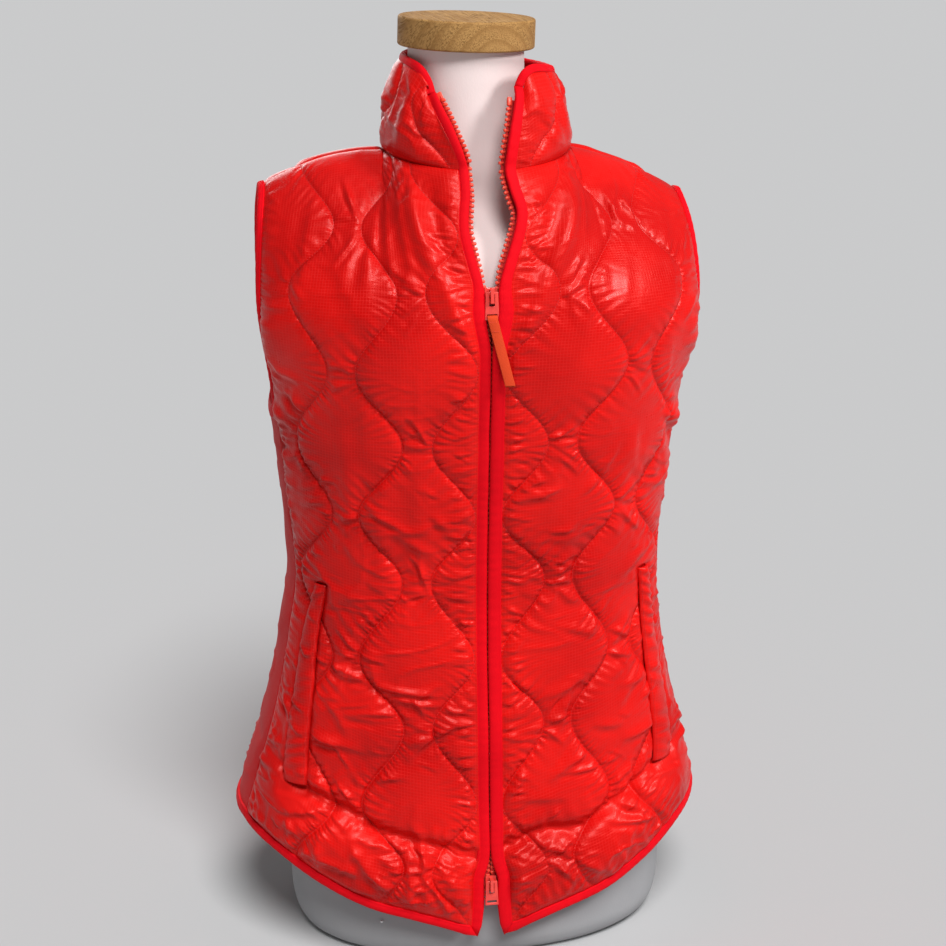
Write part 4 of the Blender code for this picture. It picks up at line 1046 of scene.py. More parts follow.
@dataclass(frozen=True)
class RipstopFinish(Finish):
    """Thin glossy coated ripstop: a fine grid of raised threads and small soft crinkles."""

    pitch: float = 2.6
    weave: float = 0.44
    crinkle: float = 0.0006

    def build(self) -> bpy.types.Material:
        """The material."""
        made, w, shader = self.start()
        uv = w.add("ShaderNodeUVMap", uv_map="cloth").outputs[0]
        place = w.add("ShaderNodeTexCoord").outputs["Object"]
        sizes = {"Vector": uv, "Pitch": self.pitch / UV_UNIT, "Weave": self.weave / UV_UNIT}
        grid = w.add("ShaderNodeGroup", sizes, node_tree=shared("grid", checks_group))
        cloud = w.noise(place, 9.0, 3.0)
        fine = w.noise(place, 160.0, 3.0, 0.6)
        tone = w.blend(w.ramp(cloud, 0.35, 0.7), self.color, self.dark)
        light = tuple(min(1.0, 1.14 * c + 0.022) for c in self.color[:3]) + (1.0,)
        tone = w.blend(w.times(grid.outputs["Lines"], 0.30), tone, light)
        w.link(tone, shader, "Base Color")
        threads = w.times(grid.outputs["Lines"], 0.12)
        rough = w.plus(threads, w.ramp(fine, 0.3, 0.7, self.roughness - 0.05, self.roughness + 0.07))
        w.link(rough, shader, "Roughness")
        wrinkles = w.noise(place, 75.0, 4.0, 0.62)
        below = self.bump(w, shader, wrinkles, self.crinkle)
        self.bump(w, shader, grid.outputs["Height"], 0.00006, below)
        return made


@dataclass(frozen=True)
class KnitFinish(Finish):
    """Knitted cloth: wales and courses along the piece's own cloth map, with painted shade darkening the
    grooves between them.
    """

    wale: float = 0.9
    course: float = 1.1
    relief: float = 0.00012
    # strength of the painted shade in the rib grooves
    shade: float = 0.25

    def build(self) -> bpy.types.Material:
        """The material."""
        made, w, shader = self.start()
        uv = w.add("ShaderNodeUVMap", uv_map="cloth").outputs[0]
        place = w.add("ShaderNodeTexCoord").outputs["Object"]
        sizes = {"Vector": uv, "Wale": self.wale / UV_UNIT, "Course": self.course / UV_UNIT}
        ribs = w.add("ShaderNodeGroup", sizes, node_tree=shared("knit", knit_group))
        cloud = w.ramp(w.noise(place, 22.0, 3.0), 0.3, 0.75)
        # Painted shade: the low parts of the ribs are darkened towards the dark colour, then mixed with the
        # random tone.
        low = w.times(w.ramp(ribs.outputs["Height"], -0.7, 0.5, 1.0, 0.0), self.shade)
        tone_and_groove_shade = w.plus(w.times(cloud, 0.35), low)
        w.link(w.blend(tone_and_groove_shade, self.color, self.dark), shader, "Base Color")
        soft = w.noise(place, 140.0, 3.0, 0.6)
        below = self.bump(w, shader, soft, self.relief * 1.6)
        self.bump(w, shader, ribs.outputs["Height"], self.relief, below)
        return made


@dataclass(frozen=True)
class JerseyFinish(Finish):
    """Pale jersey over the form, faint wales and soft soiling; painted shade darkens it below and painted
    light with a pink vest reflection pales it at the neck.
    """

    painted_neck_light: tuple = (0.82, 0.68, 0.66, 1.0)
    neck_from: float = 0.16
    neck_to: float = 0.46

    def build(self) -> bpy.types.Material:
        """The material."""
        made, w, shader = self.start()
        place = w.add("ShaderNodeTexCoord").outputs["Object"]
        parts = w.add("ShaderNodeSeparateXYZ", {0: place}).outputs
        cloud = w.ramp(w.noise(place, 14.0, 4.0), 0.35, 0.75)
        tone = w.blend(w.times(cloud, 0.5), self.color, self.dark)
        # Painted light and painted reflection: higher up, towards the neck, the colour turns paler and
        # pinker.
        neck = w.ramp(parts["Z"], self.neck_from, self.neck_to)
        tone = w.blend(w.times(neck, 0.85), tone, self.painted_neck_light)
        w.link(tone, shader, "Base Color")
        stretched = w.add("ShaderNodeMapping", {"Vector": place, "Scale": (900.0, 900.0, 450.0)}).outputs[0]
        weave = w.noise(stretched, 1.0, 2.0)
        soft = w.noise(place, 30.0, 3.0)
        below = self.bump(w, shader, soft, 0.0006)
        self.bump(w, shader, weave, 0.00010, below)
        return made


@dataclass(frozen=True)
class WoodFinish(Finish):
    """Oiled wood sawn across a small trunk, whose rings show as arches on the side."""

    heart: tuple = (0.0095, 0.0, 0.7665)
    ring: float = 0.0105
    pore: tuple = (0.15, 0.075, 0.024, 1.0)

    def build(self) -> bpy.types.Material:
        """The material."""
        made, w, shader = self.start()
        place = w.add("ShaderNodeTexCoord").outputs["Object"]
        offset = tuple(-c for c in self.heart)
        centred = w.add("ShaderNodeMapping", {"Vector": place, "Location": offset}).outputs[0]
        flat = w.add("ShaderNodeMapping", {"Vector": centred, "Scale": (1.0, 0.16, 1.0)}).outputs[0]
        bent = w.noise(flat, 26.0, 3.0, 0.5)
        parts = w.add("ShaderNodeSeparateXYZ", {0: centred}).outputs
        lean = w.plus(parts["X"], w.times(parts["Y"], 0.10))
        radius = w.math("SQRT", w.plus(w.times(lean, lean), w.times(parts["Z"], parts["Z"])))
        radius = w.plus(radius, w.times(w.minus(bent, 0.5), 0.010))
        around = w.math("ARCTAN2", parts["Z"], lean)
        share = w.math("FRACT", w.over(radius, self.ring))
        late = w.times(w.ramp(share, 0.45, 0.93), w.ramp(share, 1.0, 0.94))
        polar = w.add("ShaderNodeCombineXYZ", {
            0: w.times(radius, 1900.0), 1: w.times(around, 22.0),
            2: w.times(parts["Y"], 40.0)}).outputs[0]
        streak = w.ramp(w.noise(polar, 1.0, 2.0, 0.5), 0.50, 0.62)
        fine_at = w.add("ShaderNodeMapping", {"Vector": centred, "Scale": (900.0, 55.0, 900.0)}).outputs[0]
        fine = w.ramp(w.noise(fine_at, 1.0, 2.0, 0.6), 0.40, 0.66)
        cloud = w.ramp(w.noise(place, 30.0, 3.0), 0.3, 0.75)
        tone = w.blend(w.times(cloud, 0.45), self.color, self.dark)
        tone = w.blend(w.times(late, 0.50), tone, self.dark)
        tone = w.blend(w.times(fine, 0.28), tone, self.dark)
        pores = w.times(streak, w.ramp(share, 0.1, 0.8, 1.0, 0.45))
        tone = w.blend(w.times(pores, 0.72), tone, self.pore)
        w.link(tone, shader, "Base Color")
        w.link(w.ramp(streak, 0.0, 1.0, self.roughness, self.roughness + 0.2), shader, "Roughness")
        self.bump(w, shader, w.minus(1.0, streak), 0.00018)
        return made


@dataclass(frozen=True)
class MouldedFinish(Finish):
    """Moulded plastic, enamel or thread with a faint uneven surface."""

    grain: float = 240.0
    relief: float = 0.00006

    def build(self) -> bpy.types.Material:
        """The material."""
        made, w, shader = self.start()
        place = w.add("ShaderNodeTexCoord").outputs["Object"]
        cloud = w.ramp(w.noise(place, self.grain, 3.0), 0.3, 0.7)
        w.link(w.blend(w.times(cloud, 0.6), self.color, self.dark), shader, "Base Color")
        w.link(w.ramp(cloud, 0.0, 1.0, self.roughness - 0.06, self.roughness + 0.08), shader, "Roughness")
        self.bump(w, shader, w.noise(place, self.grain * 3, 2.0), self.relief)
        return made


@dataclass(frozen=True)
class WebbingFinish(Finish):
    """Woven tape: diagonal ribs across the strip, with painted shade in the grooves between them."""

    rib: float = 0.9

    def build(self) -> bpy.types.Material:
        """The material."""
        made, w, shader = self.start()
        uv = w.add("ShaderNodeUVMap", uv_map="cloth").outputs[0]
        ribs = w.add("ShaderNodeGroup", {}, node_tree=shared("knit", knit_group))
        turned = w.add("ShaderNodeMapping", {"Vector": uv, "Rotation": (0.0, 0.0, 0.6)}).outputs[0]
        w.link(turned, ribs, "Vector")
        ribs.inputs["Wale"].default_value = self.rib / UV_UNIT
        ribs.inputs["Course"].default_value = self.rib * 0.8 / UV_UNIT
        # Painted shade: the low parts of the ribs are darkened.
        low = w.times(w.ramp(ribs.outputs["Height"], -0.7, 0.6, 1.0, 0.0), 0.55)
        w.link(w.blend(low, self.color, self.dark), shader, "Base Color")
        self.bump(w, shader, ribs.outputs["Height"], 0.00016)
        return made


@dataclass(frozen=True)
class FinishBook:
    """All finishes of the object."""

    ripstop: RipstopFinish = RipstopFinish(
        "quilted_ripstop", (0.66, 0.0050, 0.0035, 1), (0.45, 0.0015, 0.0015, 1), roughness=0.32,
        coat=0.085, coat_roughness=0.19, specular=0.38, specular_tint=(1.0, 0.26, 0.22, 1.0))
    stretch: KnitFinish = KnitFinish(
        "stretch_panel", (0.56, 0.007, 0.009, 1), (0.42, 0.004, 0.006, 1), roughness=0.62, specular=0.25,
        specular_tint=(1.0, 0.4, 0.4, 1.0), sheen=0.06, sheen_tint=(1.0, 0.2, 0.2, 1.0), wale=0.7, course=0.8,
        relief=0.00005, shade=0.12)
    binding: KnitFinish = KnitFinish(
        "knit_binding", (0.76, 0.002, 0.009, 1), (0.50, 0.001, 0.006, 1), roughness=0.66, specular=0.2,
        specular_tint=(1.0, 0.3, 0.3, 1.0), sheen=0.05, sheen_tint=(1.0, 0.1, 0.12, 1.0), wale=0.8,
        course=0.9, relief=0.00008, shade=0.22)
    tape: KnitFinish = KnitFinish(
        "zip_tape", (0.62, 0.012, 0.012, 1), (0.45, 0.006, 0.008, 1), roughness=0.7, wale=0.7, course=0.6,
        relief=0.00010, shade=0.4)
    teeth: MouldedFinish = MouldedFinish(
        "zip_teeth", (0.86, 0.075, 0.038, 1), (0.76, 0.050, 0.026, 1), roughness=0.42, specular=0.4)
    enamel: MouldedFinish = MouldedFinish(
        "slider_enamel", (0.80, 0.060, 0.045, 1), (0.66, 0.040, 0.034, 1), roughness=0.34, metallic=0.1,
        coat=0.4, coat_roughness=0.15, grain=320.0)
    webbing: WebbingFinish = WebbingFinish(
        "puller_webbing", (0.72, 0.062, 0.012, 1), (0.46, 0.028, 0.008, 1), roughness=0.75, specular=0.2)
    # The thread has the vest's own red, painted darker as shade along the stitch lines.
    thread: MouldedFinish = MouldedFinish(
        "quilting_thread", (0.56, 0.014, 0.012, 1), (0.44, 0.008, 0.008, 1), roughness=0.55, grain=600.0)
    # Its grey is painted shade under the vest; the finish paints it paler and pinker towards the neck as
    # light and a reflection of the red vest.
    jersey: JerseyFinish = JerseyFinish(
        "form_jersey", (0.36, 0.36, 0.37, 1), (0.30, 0.30, 0.312, 1), roughness=0.85, specular=0.2)
    wood: WoodFinish = WoodFinish(
        "neck_cap_wood", (0.47, 0.262, 0.092, 1), (0.25, 0.118, 0.034, 1), roughness=0.62, specular=0.10,
        coat_roughness=0.35)
    steel: MouldedFinish = MouldedFinish(
        "pin_steel", (0.75, 0.75, 0.76, 1), (0.6, 0.6, 0.62, 1), roughness=0.3, metallic=0.9, grain=500.0)


# ---------------------------------------------------------------- quilted panels


@dataclass
class QuiltedPanel:
    """Grid of a quilted panel: columns follow the quilting lines, rows run from hem to neckline."""

    finishes: dict
    rows_below: int = 340
    rows_above: int = 180

    def rows(self) -> Array:
        """The rows' places, from 0 at the hem to almost 2."""
        below = np.arange(self.rows_below) / self.rows_below
        above = 1 + np.arange(self.rows_above) / self.rows_above
        return np.concatenate([below, above, [2 - PATTERN.top_trim]])

    @staticmethod
    def cell_shares(count: int) -> Array:
        """Shares of the way across a cell, closer together beside the stitches."""
        s = np.linspace(0, 1, count + 1)
        return 0.55 * s + 0.45 * 0.5 * (1 - np.cos(math.pi * s))

    def columns(self, bounds: Array, counts: list) -> tuple:
        """Columns across the cells between bounds.

        Args:
            bounds: Places of the cells' bounds, rows by bounds.
            counts: Columns of each cell.

        Returns:
            Places of the columns, and the number of the cell of each column.
        """
        places, cells = [bounds[:, :1]], [0]
        for k, count in enumerate(counts):
            share = self.cell_shares(count)[1:]
            places.append(bounds[:, k:k + 1] + (bounds[:, k + 1:k + 2] - bounds[:, k:k + 1]) * share)
            cells += [k] * count
        return np.concatenate(places, axis=1), np.array(cells)

    @staticmethod
    def loft(v: Array, z: Array, bounds: Array, cells: Array, seed: int,
             gather: float = 0.75, outside: tuple = (True, True)) -> Array:
        """Height of the padding and of the gathers beside the stitches.

        Args:
            v: Places of the columns.
            z: Levels of the points.
            bounds: Places of the cells' bounds on each row.
            cells: Cell of each column.
            seed: Picks the gathers.
            gather: Height of the gathers.
            outside: Whether the first and last bound are seams that gather the cloth too.

        Returns:
            Heights over stitch level.
        """
        level = z[:, len(z[0]) // 2]
        slope = np.gradient(bounds, axis=0) / np.gradient(level)[:, None]
        straight = 1 / np.sqrt(1 + slope**2)
        run = np.cumsum(np.sqrt(np.gradient(bounds, axis=0) ** 2 + np.gradient(level)[:, None] ** 2), axis=0)
        left, right = bounds[:, cells], bounds[:, cells + 1]
        off_left = (v - left) * straight[:, cells]
        off_right = (right - v) * straight[:, cells + 1]
        width = right - left
        full = np.sqrt(np.clip(width / (PATTERN.stitch_step + 2 * PATTERN.stitch_swing), 0.05, 1.0))
        height = 5.2 * full * near(off_left, 3.4) * near(off_right, 3.4)
        for k in range(bounds.shape[1]):
            if (k == 0 and not outside[0]) or (k == bounds.shape[1] - 1 and not outside[1]):
                continue
            for way, off, cell in ((1, off_left, k), (-1, off_right, k - 1)):
                here = cells == cell
                if not here.any():
                    continue
                only = slice(k, k + 1)
                aside = (v[:, here] - bounds[:, only]) * slope[:, only] * straight[:, only]
                foot = run[:, only] + aside
                apart = off[:, here]
                number = seed + 17 * k + (5 if way > 0 else 0)
                fine = ripples(foot, 4.8, number) * (apart / 2.3) * np.exp(1 - apart / 2.3)
                long = ripples(foot, 10.5, number + 3) * (apart / 6.0) * np.exp(1 - apart / 6.0)
                height[:, here] += gather * (1.45 * fine + 1.1 * long)
        return height

    @staticmethod
    def crinkles(v: Array, z: Array, seed: int, slant: float) -> Array:
        """Uneven soft creases of slack cloth over thin wadding.

        Args:
            v: Places across.
            z: Levels.
            seed: Picks the creases.
            slant: How far the creases climb across the cloth.

        Returns:
            Heights.
        """
        along = v + 7 * patches(v / 34, z / 34, seed)
        across = z + slant * v + 18 * patches(v / 56, z / 44, seed + 1)
        low = 1 - np.abs(patches(along / 42, across / 20, seed + 2)) * 2.0
        ridge = np.clip(low, 0, 1) ** 3
        small = np.clip(1 - np.abs(patches(along / 22, across / 8.5, seed + 3)) * 2.4, 0, 1) ** 3
        soft = patches(along / 32, across / 21, seed + 4)
        where = np.clip(0.55 + 0.8 * patches(v / 55, z / 48, seed + 5), 0, 1)
        return where * (2.1 * ridge + 0.5 * small) + 0.9 * soft - 0.4

    @staticmethod
    def crease_heights(v: Array, z: Array, creases: list) -> Array:
        """Height of short sharp creases, each steep below and gentle above.

        Args:
            v: Places across.
            z: Levels.
            creases: The creases.

        Returns:
            Heights.
        """
        height = np.zeros_like(v)
        for crease in creases:
            half = crease.length / 2
            reach = half + 3 * crease.width
            rows, columns = np.nonzero((np.abs(v - crease.v) < reach) & (np.abs(z - crease.z) < reach))
            x, y = v[rows, columns] - crease.v, z[rows, columns] - crease.z
            turn = math.radians(crease.lean)
            along = x * math.cos(turn) + y * math.sin(turn)
            off = y * math.cos(turn) - x * math.sin(turn) - crease.bend * (along**2) / crease.length
            fade = np.clip(1 - (along / half) ** 2, 0, 1) ** 1.3
            wide = crease.width * np.where(off > 0, 1.7, 0.75)
            ditch = np.exp(-(((off + 2.1 * crease.width) / crease.width) ** 2))
            ridge = np.exp(-((off / wide) ** 2)) - 0.45 * ditch
            height[rows, columns] += crease.height * fade * ridge
        return height

    @staticmethod
    def cell_creases(spans: list, seed: int, lean: float) -> list:
        """Uneven creases scattered over bands of a panel.

        Args:
            spans: Bands: count, v from, v to, z from, z to, lean, its spread, length, width and height.
            seed: Picks the creases.
            lean: Sign of the creases' lean.

        Returns:
            The creases.
        """
        random = np.random.default_rng(seed)
        made = []
        for count, v0, v1, z0, z1, turn, spread, length, width, height in spans:
            for _ in range(count):
                made.append(Crease(
                    random.uniform(v0, v1), random.uniform(z0, z1), lean * random.normal(turn, spread),
                    length * random.uniform(0.6, 1.5), width * random.uniform(0.7, 1.4),
                    height * random.uniform(0.5, 1.35), random.uniform(-0.35, 0.35)))
        return made

    @staticmethod
    def edge_creases(places: Array, levels: Array, leans: Array, seed: int, spacing: float,
                     length: float, width: float, height: float, inward: float = 1.0) -> list:
        """Uneven gathers across a sewn edge.

        Args:
            places: Places of the edge across the panel.
            levels: Levels of the edge.
            leans: Direction of the gathers in degrees along the edge.
            seed: Picks the gathers.
            spacing: Usual distance between them.
            length: Their usual length.
            width: Their usual width.
            height: Their usual height.
            inward: Sign of the way into the panel.

        Returns:
            The creases.
        """
        random = np.random.default_rng(seed)
        run = np.concatenate([[0], np.cumsum(np.hypot(np.diff(places), np.diff(levels)))])
        made, at = [], spacing
        while at < run[-1] - 3:
            long = length * random.uniform(0.55, 1.5)
            turn = float(np.interp(at, run, leans)) + random.normal(0, 14)
            middle = inward * (0.42 * long)
            made.append(Crease(
                float(np.interp(at, run, places)) + middle * math.cos(math.radians(turn)),
                float(np.interp(at, run, levels)) + middle * math.sin(math.radians(turn)), turn, long,
                width * random.uniform(0.75, 1.35), height * random.uniform(0.5, 1.4),
                random.uniform(-0.3, 0.3)))
            at += spacing * random.uniform(0.6, 1.5)
        return made

    @staticmethod
    def neck_creases(spans: list, seed: int, height: float) -> list:
        """Fans of short creases where quilting lines come close to each other.

        Args:
            spans: Places of the necks: v from, v to and level.
            seed: Picks the creases.
            height: Their usual height.

        Returns:
            The creases.
        """
        random = np.random.default_rng(seed)
        made = []
        for v0, v1, z in spans:
            for lean in random.permutation([-48, -24, -6, 12, 30, 52])[:random.integers(3, 6)]:
                made.append(Crease(
                    0.5 * (v0 + v1) + random.uniform(-5, 5), z + 0.32 * lean + random.uniform(-4, 4),
                    lean + random.normal(0, 8), abs(v1 - v0) * random.uniform(0.8, 1.7),
                    random.uniform(1.5, 2.8), height * random.uniform(0.6, 1.3), random.uniform(-0.4, 0.4)))
        return made

    @staticmethod
    def fold_heights(v: Array, z: Array, folds: list) -> Array:
        """Height of the listed folds.

        Args:
            v: Places across.
            z: Levels.
            folds: The folds.

        Returns:
            Heights.
        """
        height = np.zeros_like(v)
        for fold in folds:
            run = np.array([fold.v1 - fold.v0, fold.z1 - fold.z0], float)
            length = float(np.hypot(*run))
            x, y = v - fold.v0, z - fold.z0
            share = np.clip((x * run[0] + y * run[1]) / length**2, 0, 1)
            off = (x * run[1] - y * run[0]) / length
            beyond = np.hypot(x - share * run[0], y - share * run[1])
            width = fold.width * np.where(off > 0, 1 - 0.55 * fold.lean, 1 + 0.55 * fold.lean)
            along = 0.35 + 0.65 * np.sin(math.pi * share)
            height += fold.height * along * np.exp(-((beyond / width) ** 2))
        return height

    @staticmethod
    def into_armhole(base: Array, w: Array, column: int) -> Array:
        """A panel carried on into the narrow armhole binding beside its first (0) or last (-1) column."""
        end = base[:, column][:, None]
        way = units(end - base[:, 6 if column == 0 else -7][:, None])
        share = np.clip(1 - np.linalg.norm(base - end, axis=-1) / 45, 0, 1) ** 2
        share = share * np.interp(w, [1.0, 1.06], [0.0, 1.0])[:, None]
        return base + way * PATTERN.armhole_narrowing * share[..., None]

    @staticmethod
    def before_seam(apart: Array) -> Array:
        """Share of the roll above the hem that is left, by the distance from the side seam."""
        share = np.clip(apart / 46, 0, 1)
        return share * share * (3 - 2 * share)

    @staticmethod
    def hem_drop(above: Array) -> Array:
        """How far the cloth reaches down into the narrow hem binding, by the height above the hem."""
        return PATTERN.hem_narrowing * np.clip(1 - above / 30, 0, 1) ** 2

    @staticmethod
    def flat_map(points: Array, v: Array) -> Array:
        """Cloth millimetres of a grid: the place across, and the length up the middle column."""
        middle = points[:, points.shape[1] // 2]
        return cloth_map(v, run_along(middle)[:, None], v.shape)

    def quilt(self, name: str, outer: Array, inner: Array, normals: Array, uv: Array,
              rests_on: list, step: int = 4) -> list:
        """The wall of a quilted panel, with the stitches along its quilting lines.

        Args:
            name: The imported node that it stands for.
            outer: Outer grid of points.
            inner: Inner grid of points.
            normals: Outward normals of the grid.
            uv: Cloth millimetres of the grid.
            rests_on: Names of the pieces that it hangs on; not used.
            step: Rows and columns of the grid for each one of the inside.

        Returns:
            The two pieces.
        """
        panel = cloth_wall(name + "_quilt", outer, inner, uv, self.finishes["ripstop"], step)
        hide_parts(name)
        lines = np.cumsum(self.counts)[:-1]
        seams = [(outer[:, c] + normals[:, c] * 0.12, normals[:, c]) for c in lines]
        thread = stitches(name + "_stitches", seams, self.finishes["thread"])
        return [panel, thread]


@dataclass
class FrontPanel(QuiltedPanel):
    """One front of the vest, from the zip's binding to the side seam, armhole and shoulder."""

    side: Side = Side.RIGHT
    counts: tuple = (26, 42, 46, 46)
    flat: tuple = (0.252, 0.655)
    area: float = 0.117

    def folds(self) -> list:
        """Folds placed one by one on this front."""
        if self.side is Side.RIGHT:
            return [
                Fold(50, 684, 30, 606, 9, 5.0, 0.5), Fold(31, 608, 14, 556, 7, 3.6, 0.5),
                Fold(33, 684, 18, 612, 9, -4.0), Fold(62, 676, 54, 606, 5, 1.6),
                Fold(78, 672, 76, 600, 5, 1.5), Fold(94, 668, 98, 585, 6, 2.2),
                Fold(110, 664, 118, 600, 6, 1.8), Fold(176, 585, 196, 540, 14, 5.0),
                Fold(160, 500, 200, 482, 9, 4.0, 0.5), Fold(172, 470, 206, 452, 7, -4.0),
                Fold(60, 470, 52, 360, 9, 2.2), Fold(92, 440, 86, 350, 8, 2.0),
                Fold(120, 480, 112, 390, 9, 2.2), Fold(180, 250, 168, 175, 8, 3.0),
            ]
        return [
            Fold(56, 682, 34, 606, 9, 5.0, 0.5), Fold(35, 608, 16, 552, 7, 3.6, 0.5),
            Fold(38, 682, 22, 612, 9, -3.5), Fold(70, 676, 66, 640, 4, 1.5),
            Fold(92, 668, 100, 636, 3.4, 2.0), Fold(108, 664, 118, 634, 3.4, 2.0),
            Fold(124, 662, 136, 638, 3.4, 2.0), Fold(176, 565, 198, 520, 14, 5.0),
            Fold(168, 470, 200, 440, 8, -5.0), Fold(160, 486, 196, 462, 8, 4.0, 0.5),
            Fold(70, 430, 62, 350, 9, 2.0), Fold(118, 470, 108, 380, 9, 2.2),
            Fold(182, 250, 170, 175, 8, 3.0),
        ]

    def creases(self, bounds: Array, z: Array) -> list:
        """The creases of this front.

        Args:
            bounds: Places of the cells' bounds on each row.
            z: Levels of the points.

        Returns:
            The creases.
        """
        seed = 1000 if self.side is Side.RIGHT else 2000
        made = self.cell_creases([
            (44, 20, 226, 70, 340, 12, 28, 50, 2.8, 2.3),
            (18, 20, 200, 330, 460, 20, 34, 40, 2.8, 1.6),
            (56, 20, 226, 60, 470, 30, 48, 16, 1.6, 1.05),
            (10, 40, 190, 430, 640, 84, 12, 70, 4.8, 0.9),
            (20, 160, 226, 440, 640, 40, 34, 26, 2.6, 1.5),
        ], seed, 1.0)
        level = z[:, 0]
        rows = level < 672
        zero = np.zeros(rows.sum())
        made += self.edge_creases(bounds[rows, 0] + 1.0, level[rows], zero, seed + 1, 6.2, 21, 1.6, 1.35)
        outer = z[:, -1]
        made += self.edge_creases(bounds[:, -1] - 1.0, outer, 0 * outer, seed + 2, 9.5, 22, 2.0, 0.6, -1.0)
        across = np.linspace(14, 226, 60)
        hem = SHAPE.hem_height(across, False)
        slope = np.degrees(np.arctan(np.gradient(hem) / np.gradient(across)))
        made += self.edge_creases(across, hem + 3, 90 + slope, seed + 3, 9.5, 32, 2.4, 1.4)
        made += self.edge_creases(across, hem + 68, 90 + slope, seed + 4, 12.0, 26, 2.4, 1.4)
        necks = []
        for turn in range(1, len(PATTERN.quilt_turns) - 1):
            height = PATTERN.quilt_turns[turn]
            far = PATTERN.stitch_swing if turn % 2 == 0 else -PATTERN.stitch_swing
            lines = [PATTERN.panel_edge]
            for k in range(3):
                lines.append(PATTERN.stitch_first + PATTERN.stitch_step * k + (far if k % 2 == 0 else -far))
            necks += [(a, b, height) for a, b in zip(lines[:-1], lines[1:]) if 8 < b - a < 30]
        made += self.neck_creases(necks, seed + 5, 1.7)
        return made

    def build(self) -> list:
        """The panel and its quilting stitches.

        Returns:
            The two pieces.
        """
        w = self.rows()
        bounds = [np.full_like(w, PATTERN.panel_edge)]
        for index in range(3):
            sign = 1 if index % 2 == 0 else -1
            line = np.full_like(w, PATTERN.stitch_first + index * PATTERN.stitch_step)
            for _ in range(5):
                z = SHAPE.panel_points(line, w, self.side, False)[..., 2]
                line = (PATTERN.stitch_first + index * PATTERN.stitch_step
                        + sign * PATTERN.stitch_swing * SHAPE.swing(z))
            bounds.append(line)
        bounds.append(SHAPE.outer_edge(w, False))
        bounds = np.stack(bounds, axis=-1)
        v, cells = self.columns(bounds, list(self.counts))
        rows = np.broadcast_to(w[:, None], v.shape)
        base = softened(SHAPE.panel_points(v, rows, self.side, False), 12)
        edge = units(base[:, :1] - base[:, 6:7])
        pull = SHAPE.narrowing(base[..., 2]) * np.clip(1 - (v - PATTERN.panel_edge) / 45, 0, 1) ** 2
        base = self.into_armhole(base + edge * pull[..., None], w, -1)
        base[..., 2] -= self.hem_drop(base[..., 2] - SHAPE.hem_height(v, False))
        normals = units(softened(SHAPE.panel_normals(v, rows, self.side, False), 16))
        z = base[..., 2]
        seed = 100 if self.side is Side.RIGHT else 300
        from_hem = z - SHAPE.hem_height(v, False)
        to_top = np.linalg.norm(base - base[-1:], axis=-1)
        fade = near(from_hem, 3.0) * near(to_top, 5.0)
        rim = near(v - PATTERN.panel_edge, 3.0) * near(bounds[:, -1:] - v, 3.0)
        padding = self.loft(v, z, bounds, cells, seed) * np.interp(z, [360, 520, 640], [1.0, 0.74, 0.62])
        slack = 0.8 * self.crinkles(v, z, seed + 40, 0.22)
        slack = slack * np.interp(z, [120, 330, 420, 540, 600, 660], [1.5, 1.35, 0.75, 0.32, 0.35, 0.7])
        slack = slack + self.crease_heights(v, z, self.creases(bounds, z))
        apart = near(np.minimum(v - bounds[:, cells], bounds[:, cells + 1] - v), 4.0)
        folds = self.fold_heights(v, z, self.folds()) * near(to_top, 8.0)
        roll = SHAPE.hem_roll(from_hem + 6 * wander(v / 40, seed + 9)) * np.minimum(1.0, from_hem / 12)
        roll = roll * self.before_seam(bounds[:, -1:] - v)
        under = PocketWelt.cover(v, z)
        height = fade * rim * (padding + slack * apart) * (1 - 0.6 * under) + (folds + roll) * rim
        inner = base + normals * (0.7 * (folds + roll) * rim - PATTERN.wall)[..., None]
        outer = base + normals * height[..., None]
        uv = self.flat_map(base, v)
        return self.quilt(self.side.named("front"), outer, inner, normals, uv, ["form_body"])


